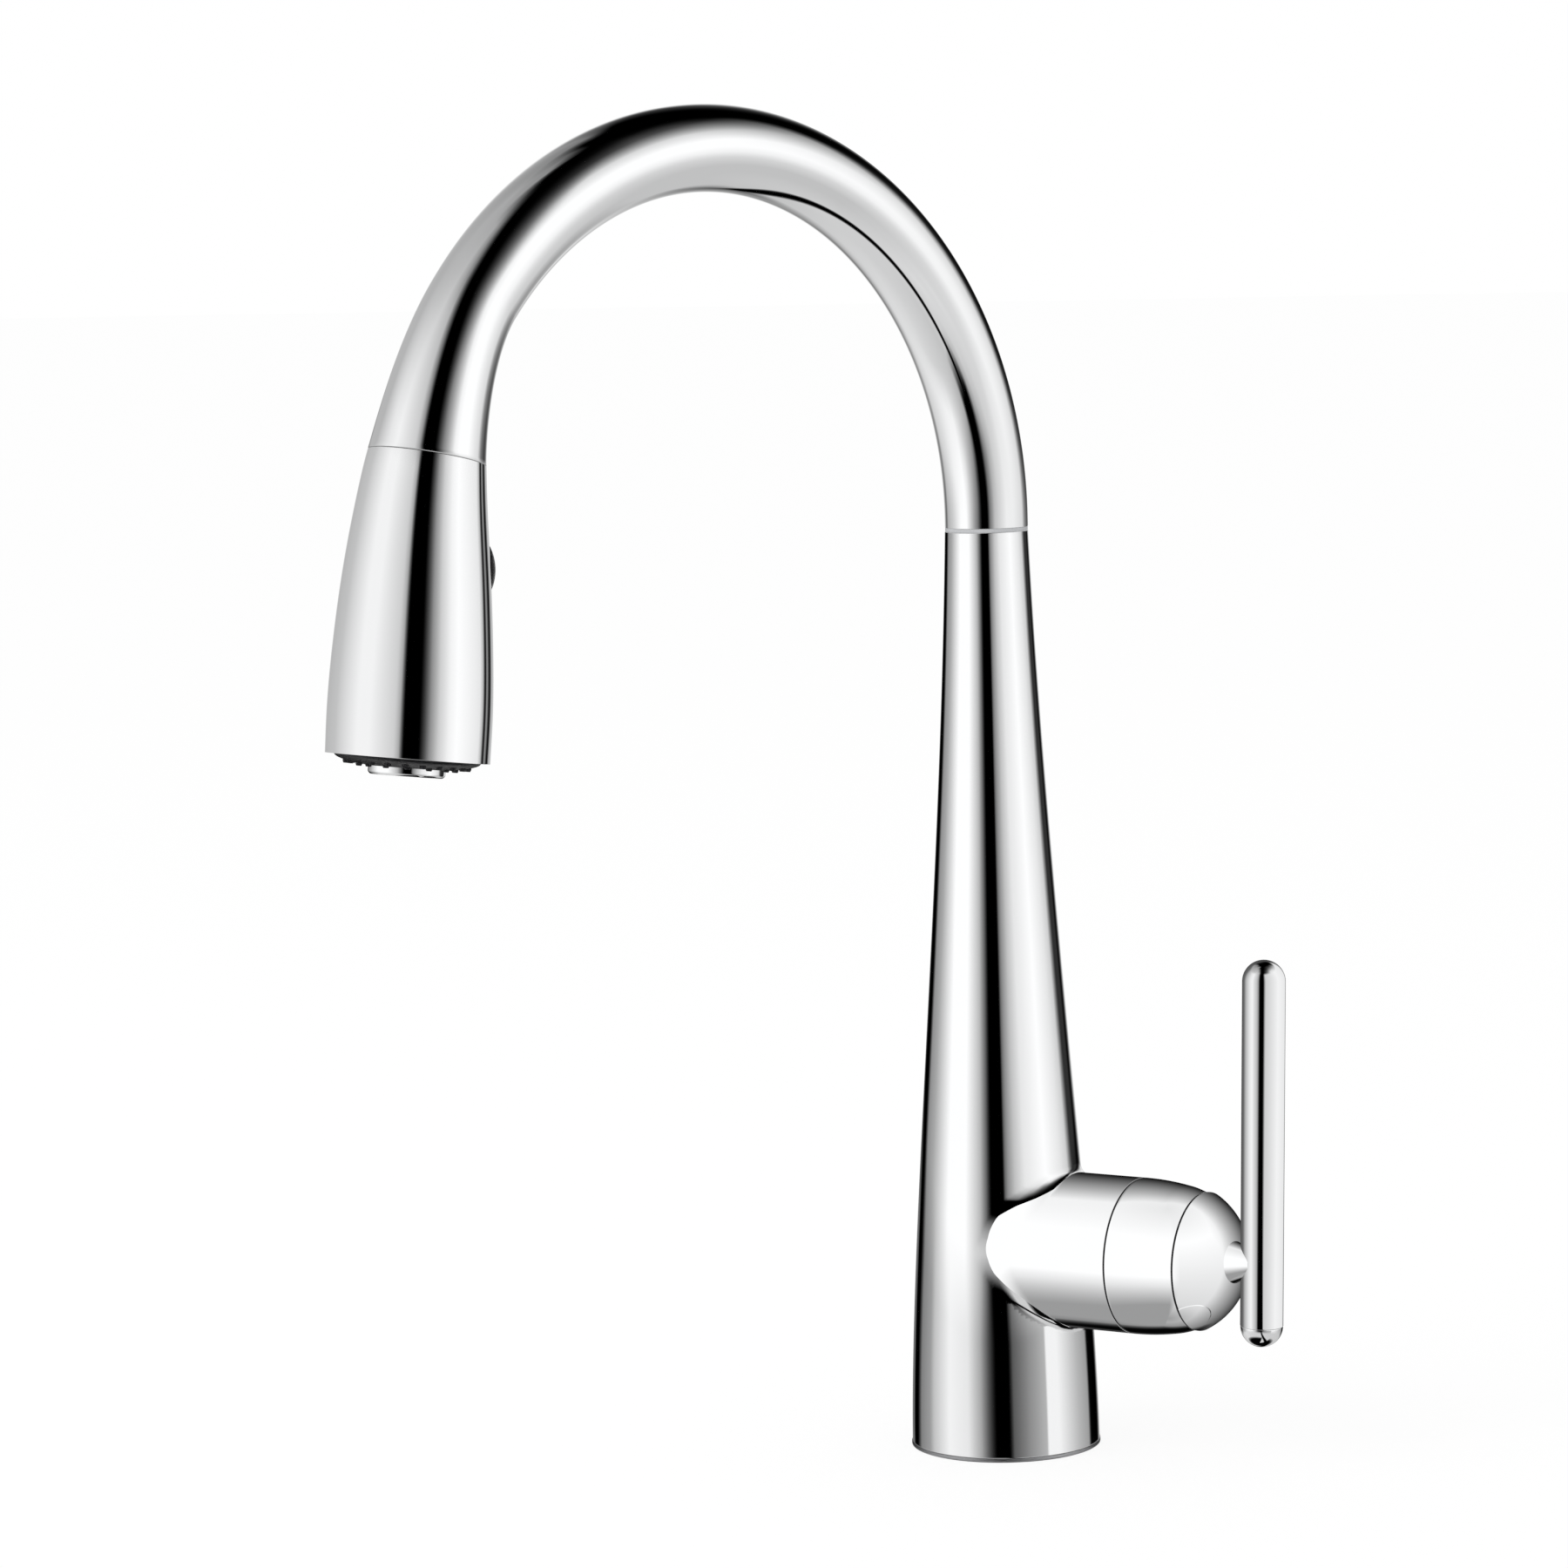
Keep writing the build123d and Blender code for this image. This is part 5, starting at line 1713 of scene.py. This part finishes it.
@dataclass
class Tent(ABC):
    """A round tent of glowing cloth that only the chrome mirrors.

    Places on it are turns round from the camera and heights above the level, in degrees. Levels
    are as bright as they look in the chrome, from 0, black, to 1, white.
    """

    name: str
    azimuth: float
    radius: float
    clear: bool
    centre_z: float = 0.2
    strength: float = 1.06
    gamma: float = 2.2

    def make(self, receivers: bpy.types.Collection) -> None:
        """Builds the tent for the pieces that a collection names.

        Args:
            receivers: The collection of its light linking.
        """
        bm = bmesh.new()
        bmesh.ops.create_uvsphere(bm, u_segments=96, v_segments=48, radius=self.radius / MM)
        tent = to_object(bm, self.name)
        tent.location.z = self.centre_z
        tent.rotation_euler.z = math.radians(self.azimuth)
        tent.data.materials.append(self.material())
        tent.data.shade_smooth()
        for kind in ("camera", "diffuse", "transmission", "volume_scatter", "shadow"):
            setattr(tent, "visible_" + kind, False)
        tent.light_linking.receiver_collection = receivers

    def material(self) -> bpy.types.Material:
        """Cloth that glows by place, and that is clear or covers what is behind it.

        Returns:
            The cloth.
        """
        made = bpy.data.materials.new(self.name)
        made.use_nodes = True
        made.cycles.emission_sampling = "NONE"
        n = Nodes(made.node_tree)
        place = n.add("ShaderNodeVectorMath", {0: n.add("ShaderNodeTexCoord").outputs["Object"]},
                      operation="NORMALIZE").outputs[0]
        light = n.math("MULTIPLY", n.math("POWER", self.level(n, place), self.gamma), self.strength)
        glow = n.add("ShaderNodeEmission", {"Strength": light})
        through = (1.0, 1.0, 1.0, 1.0) if self.clear else (0.0, 0.0, 0.0, 1.0)
        cloth = n.add("ShaderNodeBsdfTransparent", {"Color": through})
        both = n.add("ShaderNodeAddShader", {0: glow.outputs[0], 1: cloth.outputs[0]})
        n.add("ShaderNodeOutputMaterial", {"Surface": both.outputs[0]})
        return made

    @abstractmethod
    def level(self, n: Nodes, place: bpy.types.NodeSocket) -> bpy.types.NodeSocket:
        """The tent's level in one direction.

        Args:
            n: The node tree.
            place: The unit direction from its centre.

        Returns:
            The level.
        """

    @staticmethod
    def turn_and_rise(n: Nodes, place: bpy.types.NodeSocket) -> tuple[bpy.types.NodeSocket, ...]:
        """Turn round from the camera and height above the level, in degrees.

        Args:
            n: The node tree.
            place: The unit direction.

        Returns:
            The turn and the rise.
        """
        split = n.add("ShaderNodeSeparateXYZ", {"Vector": place}).outputs
        turn = n.math("ARCTAN2", split["X"], n.math("MULTIPLY", split["Y"], -1.0))
        return n.math("DEGREES", turn), n.math("DEGREES", n.math("ARCSINE", split["Z"]))

    @staticmethod
    def apart(n: Nodes, place: bpy.types.NodeSocket, spot: Pair) -> bpy.types.NodeSocket:
        """Degrees between a direction and a spot.

        Args:
            n: The node tree.
            place: The unit direction.
            spot: The spot's turn and rise.

        Returns:
            The angle between them.
        """
        turn, rise = (math.radians(v) for v in spot)
        middle = (math.sin(turn) * math.cos(rise), -math.cos(turn) * math.cos(rise), math.sin(rise))
        near = n.add("ShaderNodeVectorMath", {0: place, 1: middle}, operation="DOT_PRODUCT").outputs[1]
        return n.math("DEGREES", n.math("ARCCOSINE", near))

    @staticmethod
    def stops(n: Nodes, value: bpy.types.NodeSocket, pairs: Iterable[Pair],
              span: Pair) -> bpy.types.NodeSocket:
        """A level that changes with a value.

        Args:
            n: The node tree.
            value: What it changes with.
            pairs: Values and levels in order.
            span: Least and greatest value.

        Returns:
            The level.
        """
        low, high = span
        places = [((stop - low) / (high - low), level) for stop, level in pairs]
        return n.ramp(n.share(value, low, high), places, "LINEAR")

    @staticmethod
    def blend(n: Nodes, share: bpy.types.NodeSocket, first: bpy.types.NodeSocket,
              second: bpy.types.NodeSocket) -> bpy.types.NodeSocket:
        """A number between two others, by the share of the second."""
        return n.add("ShaderNodeMix", {"Factor": share, "A": first, "B": second}).outputs[0]


Band = tuple[float, tuple[Pair, ...]]
ALL_ROUND: Pair = (-180, 180)
UP_AND_DOWN: Pair = (-90, 90)

# How bright each tent is, as (turn, level) stops right round it, and the heights at which a ring
# of stops is painted. Black flags stand in front and behind, and lit cloths hang between them.
DARK: tuple[Pair, ...] = ((-180, 0.0), (180, 0.0))
ABOVE: tuple[Band, ...] = (
    (46.0, ((-180, 0.25), (-162, 0.25), (-146, 0.6), (-50, 0.8), (-28, 0.7), (-12, 0.0), (2, 0.0),
            (34, 0.45), (55, 0.85), (80, 0.85), (118, 0.6), (134, 0.05), (150, 0.0), (180, 0.25))),
    (65.0, ((-180, 0.0), (-158, 0.0), (-146, 0.45), (-98, 0.65), (-50, 0.65), (-36, 0.5), (-16, 0.0),
            (-2, 0.0), (70, 0.3), (94, 0.25), (130, 0.0), (180, 0.0))),
    (78.0, ((-180, 0.0), (-134, 0.0), (-118, 0.35), (-98, 0.5), (-74, 0.55), (-60, 0.25), (-38, 0.0),
            (0, 0.0), (70, 0.1), (130, 0.0), (180, 0.0))),
    (88.0, DARK))
LOW: tuple[Pair, ...] = ((-180, 0.75), (-100, 0.85), (-30, 0.8), (20, 0.8), (180, 0.75))
FOOT: tuple[Pair, ...] = (
    (-180, 0.5), (-154, 0.4), (-148, 0.0), (-138, 0.0), (-126, 0.5), (-106, 0.6), (-98, 0.75),
    (-72, 0.95), (-46, 0.9), (-30, 0.65), (-10, 0.0), (4, 0.0), (10, 0.35), (30, 0.55), (51, 0.7),
    (52.5, 0.95), (68, 0.95), (102, 0.7), (122, 0.6), (128, 0.05), (150, 0.0), (166, 0.8), (180, 0.5))
MIDDLE: tuple[Pair, ...] = (
    (-180, 0.7), (-170, 0.5), (-154, 0.0), (-141, 0.0), (-130, 0.55), (-112, 0.65), (-78, 1.0),
    (-50, 1.0), (-34, 0.8), (-28, 0.7), (-20, 0.4), (-13, 0.0), (3, 0.0), (6, 0.4), (10, 0.55),
    (20, 0.75), (34, 0.9), (66, 1.0), (94, 0.9), (110, 0.8), (124, 0.2), (136, 0.2), (146, 0.05),
    (162, 0.8), (172, 0.95), (180, 0.7))
HEAD: tuple[Pair, ...] = (
    (-180, 0.75), (-150, 0.8), (-138, 0.7), (-100, 0.75), (-62, 0.95), (-48, 0.95), (-22, 0.8),
    (-17, 0.65), (-12, 0.0), (4, 0.0), (18, 0.55), (30, 0.8), (46, 0.95), (60, 1.0), (114, 0.9),
    (124, 0.7), (130, 0.15), (134, 0.1), (138, 0.55), (142, 0.5), (152, 0.0), (165, 0.7), (180, 0.75))
BAR: tuple[Pair, ...] = (
    (-180, 0.3), (-133, 0.4), (-110, 0.7), (-78, 0.9), (-60, 0.95), (-34, 0.75), (-25, 0.6),
    (-16, 0.0), (0, 0.0), (6, 0.5), (12, 0.8), (75, 0.95), (140, 0.9), (156, 0.3), (180, 0.3))
ARCH: tuple[Pair, ...] = (
    (-180, 0.65), (-170, 0.95), (-158, 0.9), (-140, 0.7), (-104, 0.7), (-72, 0.9), (-56, 0.95),
    (-26, 0.8), (-19, 0.6), (-12, 0.0), (5, 0.0), (22, 0.5), (46, 0.95), (56, 1.0), (82, 1.0),
    (118, 0.85), (128, 0.6), (140, 0.15), (160, 0.05), (180, 0.65))
SPOUT_RINGS: tuple[Band, ...] = (
    (-75.0, ((-180, 0.8), (180, 0.8))),
    (-40.0, ((-180, 0.75), (-122, 0.85), (-98, 0.85), (-14, 0.75), (34, 0.85), (70, 0.75), (180, 0.75))),
    (-25.0, ((-180, 0.3), (-168, 0.6), (-134, 0.85), (-100, 0.9), (-76, 0.95), (-60, 0.95), (-38, 0.8),
             (-16, 0.65), (-9, 0.0), (6, 0.0), (14, 0.65), (24, 0.8), (46, 0.85), (70, 0.75),
             (160, 0.75), (180, 0.3))),
    (-8.0, ((-180, 0.7), (-158, 0.45), (-134, 0.8), (-110, 0.85), (-86, 0.95), (-60, 1.0), (-48, 0.9),
            (-22, 0.5), (-10, 0.0), (3, 0.0), (10, 0.4), (22, 0.65), (36, 0.8), (58, 0.85),
            (118, 0.8), (142, 0.55), (154, 0.6), (166, 0.9), (180, 0.7))),
    (4.0, ((-180, 0.85), (-165, 0.9), (-143, 0.3), (-132, 0.65), (-100, 0.8), (-74, 1.0), (-55, 1.0),
           (-24, 0.45), (-11, 0.0), (3, 0.0), (10, 0.45), (24, 0.75), (58, 0.95), (80, 0.95),
           (118, 0.85), (132, 0.5), (154, 0.25), (166, 0.4), (180, 0.85))),
    (15.0, ARCH), (30.0, ARCH), *ABOVE)
UNDER: tuple[Pair, ...] = (
    (-180, 0.05), (5, 0.05), (12, 0.8), (60, 0.8), (75, 0.05), (180, 0.05))
ROOM_RINGS: tuple[Band, ...] = (
    (-66.0, UNDER), (-56.0, LOW), (-40.0, LOW), (-27.0, FOOT), (-19.0, FOOT), (-15.0, MIDDLE),
    (10.0, MIDDLE), (28.0, HEAD), *ABOVE)
HEAD_RINGS: tuple[Band, ...] = ((-50.0, LOW), (-40.0, HEAD), (28.0, HEAD), *ABOVE)
BAR_RINGS: tuple[Band, ...] = ((-66.0, LOW), (-56.0, BAR), (35.0, BAR), *ABOVE)


@dataclass
class RingTent(Tent):
    """A tent painted in rings, each at a height, that run into one another.

    A dark line crosses the ground under it from front to back, passing to the right of the tap.
    """

    rings: tuple[Band, ...] = ()
    line: tuple[Pair, ...] = ((0.0, 0.0), (0.045, 0.0), (0.11, 1.0))
    line_bend: Pair = (0.36, 0.08)
    line_heights: Pair = (-24.0, -30.0)

    def level(self, n: Nodes, place: bpy.types.NodeSocket) -> bpy.types.NodeSocket:
        """The rings of levels, and below them the line.

        Args:
            n: The node tree.
            place: The unit direction from the tent's centre.

        Returns:
            The level.
        """
        turn, rise = self.turn_and_rise(n, place)
        below, made = self.rings[0][0], self.stops(n, turn, self.rings[0][1], ALL_ROUND)
        for height, ring in self.rings[1:]:
            share = n.share(rise, below, height)
            made = self.blend(n, share, made, self.stops(n, turn, ring, ALL_ROUND))
            below = height
        split = n.add("ShaderNodeSeparateXYZ", {"Vector": place}).outputs
        down = n.math("MAXIMUM", n.math("MULTIPLY", split["Z"], -1.0), 0.01)
        ahead = n.math("POWER", n.math("ABSOLUTE", n.math("DIVIDE", split["Y"], down)), 2.0)
        bend, shift = self.line_bend
        middle = n.math("SUBTRACT", n.math("DIVIDE", bend, n.math("ADD", ahead, 1.0)), shift)
        off = n.math("ABSOLUTE", n.math("SUBTRACT", n.math("DIVIDE", split["X"], down), middle))
        line = self.stops(n, off, self.line, (0, 1))
        deep = n.share(rise, *self.line_heights)
        return n.math("MULTIPLY", made, self.blend(n, deep, 1.0, line))


@dataclass
class HubTent(Tent):
    """The even tent round the hub and the handle's dome: white, grey below and dark far behind."""

    left: tuple[Pair, ...] = ((-90, 0.6), (-66, 0.6), (-40, 0.9), (-28, 1.0), (30, 1.0), (90, 0.9))
    right: tuple[Pair, ...] = ((-90, 0.6), (-62, 0.85), (-10, 0.95), (20, 1.0), (50, 0.95), (90, 0.9))
    sides: Pair = (2.0, 14.0)
    dark_middle: Pair = (172, -15)
    dark_fall: tuple[Pair, ...] = ((0, 0.0), (70, 0.7), (92, 0.95), (105, 1.0))
    low_middle: Pair = (172, -54)
    low_fall: tuple[Pair, ...] = ((0, 0.05), (9, 0.05), (16, 0.4), (24, 1.0))

    def level(self, n: Nodes, place: bpy.types.NodeSocket) -> bpy.types.NodeSocket:
        """Levels by height, less towards two dark places behind.

        Args:
            n: The node tree.
            place: The unit direction from the tent's centre.

        Returns:
            The level.
        """
        turn, rise = self.turn_and_rise(n, place)
        front = self.blend(n, n.share(turn, *self.sides), self.stops(n, rise, self.left, UP_AND_DOWN),
                           self.stops(n, rise, self.right, UP_AND_DOWN))
        for spot, fall in ((self.dark_middle, self.dark_fall), (self.low_middle, self.low_fall)):
            front = n.math("MINIMUM", front, self.stops(n, self.apart(n, place, spot), fall, (0, 180)))
        return front


HUB_PIECES = ("column_hub", "hub_bonnet", "handle_ball_dome", "handle_screw_plug", "handle_neck_cone")


@dataclass
class Studio:
    """The camera, the deck, the lamp, the plain white surroundings and the light tent."""

    distance: float = 1.5
    azimuth: float = 29.73
    height: float = 0.35
    yaw: float = 2.27
    pitch: float = 5.985
    roll: float = -1.483
    lens: float = 121.11
    fill: float = 0.8
    floor_glow: float = 1.04
    floor_share: float = 0.84
    floor_half: float = 20000.0
    lamp_power: float = 12.0
    lamp_size: float = 1.4
    lamp_at: tuple[float, float, float] = (-0.9, -1.6, 1.5)
    lamp_aim_z: float = 0.2

    def camera(self) -> None:
        """Puts the camera in front and to the right, a little above the hub."""
        a, turn, dip, roll = (math.radians(v) for v in (self.azimuth, self.azimuth + self.yaw,
                                                        self.pitch, self.roll))
        level = Vector((-math.sin(turn), math.cos(turn), 0))
        right = Vector((math.cos(turn), math.sin(turn), 0))
        ahead = level * math.cos(dip) - Vector((0, 0, 1)) * math.sin(dip)
        up = Vector((0, 0, 1)) * math.cos(dip) + level * math.sin(dip)
        right, up = (right * math.cos(roll) + up * math.sin(roll),
                     up * math.cos(roll) - right * math.sin(roll))
        data = bpy.data.cameras.new("studio_camera")
        data.lens, data.sensor_width = self.lens, 36.0
        data.clip_start, data.clip_end = 0.05, 50.0
        camera = bpy.data.objects.new("studio_camera", data)
        where = Vector((math.sin(a), -math.cos(a), 0)) * self.distance + Vector((0, 0, self.height))
        camera.matrix_world = frame_matrix(where, right, up, -ahead)
        bpy.context.scene.collection.objects.link(camera)
        bpy.context.scene.camera = camera

    def world(self) -> None:
        """Plain surroundings: white where they are seen, a little softer where they light."""
        world = bpy.data.worlds.new("studio_white")
        world.use_nodes = True
        n = Nodes(world.node_tree)
        path = n.add("ShaderNodeLightPath").outputs
        seen = n.math("MAXIMUM", path["Is Camera Ray"], path["Is Glossy Ray"])
        seen = n.math("MAXIMUM", seen, path["Is Transmission Ray"])
        strength = n.math("MULTIPLY_ADD", seen, 1.0 - self.fill, self.fill)
        back = n.add("ShaderNodeBackground", {"Strength": strength})
        back.inputs["Color"].default_value = (1.0, 1.0, 1.0, 1.0)
        n.add("ShaderNodeOutputWorld", {"Surface": back.outputs[0]})
        bpy.context.scene.world = world

    def deck(self) -> None:
        """The white deck that the tap stands on, with its soft shadow."""
        bm = bmesh.new()
        bmesh.ops.create_grid(bm, x_segments=8, y_segments=8, size=self.floor_half)
        deck = to_object(bm, "studio_deck")
        made = bpy.data.materials.new("studio_deck")
        made.use_nodes = True
        n = Nodes(made.node_tree)
        paint = n.add("ShaderNodeBsdfDiffuse", {"Color": (0.9, 0.9, 0.9, 1.0)})
        glow = n.add("ShaderNodeEmission", {"Color": (1.0, 1.0, 1.0, 1.0), "Strength": self.floor_glow})
        seen = n.add("ShaderNodeLightPath").outputs["Is Camera Ray"]
        share = n.math("MULTIPLY", seen, self.floor_share)
        both = n.add("ShaderNodeMixShader", {0: share, 1: paint.outputs[0], 2: glow.outputs[0]})
        n.add("ShaderNodeOutputMaterial", {"Surface": both.outputs[0]})
        deck.data.materials.append(made)
        deck.visible_glossy = False

    def lamp(self) -> None:
        """One broad lamp from the upper left front, kept out of the chrome."""
        data = bpy.data.lights.new("key_lamp", "AREA")
        data.energy, data.size = self.lamp_power, self.lamp_size
        lamp = bpy.data.objects.new("key_lamp", data)
        lamp.location = self.lamp_at
        ahead = Vector((0.0, 0.0, self.lamp_aim_z)) - Vector(self.lamp_at)
        lamp.rotation_euler = ahead.to_track_quat("-Z", "Y").to_euler()
        lamp.visible_glossy = False
        bpy.context.scene.collection.objects.link(lamp)

    def tents(self) -> None:
        """Puts up the tents, one inside the other, each mirrored only by its own pieces."""
        shared = (
            (HubTent("studio_hub_tent", self.azimuth, 0.72, True), HUB_PIECES),
            (RingTent("studio_spout_tent", self.azimuth, 0.73, True, rings=SPOUT_RINGS),
             ("gooseneck_spout",)),
            (RingTent("studio_bar_tent", self.azimuth, 0.735, True, rings=BAR_RINGS),
             ("handle_upright_bar",)),
            (RingTent("studio_head_tent", self.azimuth, 0.74, True, rings=HEAD_RINGS),
             ("spray_head_shell",)))
        for tent, names in shared:
            tent.make(self.receivers(tent.name, names, "INCLUDE"))
        room = RingTent("studio_room_tent", self.azimuth, 0.75, False, rings=ROOM_RINGS)
        others = [name for _, names in shared for name in names]
        room.make(self.receivers(room.name, others, "EXCLUDE"))

    @staticmethod
    def receivers(tent: str, names: Sequence[str], state: str) -> bpy.types.Collection:
        """A light-linking collection that takes in, or leaves out, the named pieces.

        Args:
            tent: Name of the tent it is for.
            names: The pieces' names.
            state: "INCLUDE" or "EXCLUDE".

        Returns:
            The collection.
        """
        made = bpy.data.collections.new(tent + "_receivers")
        for name in names:
            made.objects.link(bpy.data.objects[name])
        for entry in made.collection_objects:
            entry.light_linking.link_state = state
        return made

    @staticmethod
    def keep_out_of_mirrors() -> None:
        """Lets the chrome mirror only the tents, so that it stays calm."""
        for piece in bpy.data.objects:
            if piece.type == "MESH" and not piece.name.startswith("studio_"):
                piece.visible_glossy = False

    def make(self) -> None:
        """Sets up the camera and everything round the object but the tents."""
        self.camera()
        self.world()
        self.deck()
        self.lamp()
        bpy.context.scene.view_settings.view_transform = "Standard"


def main() -> None:
    """Builds the studio and the tap."""
    logging.basicConfig(level=logging.INFO, format="%(name)s %(message)s")
    studio = Studio()
    studio.make()
    column = Column()
    spout = Gooseneck()
    for part in (column, Bonnet(column), Handle(column), spout, PullHose(spout),
                 SprayHead(spout), CarriedOver()):
        part.make()
    studio.tents()
    studio.keep_out_of_mirrors()
    bpy.context.view_layer.update()


if __name__ == "__main__":
    main()
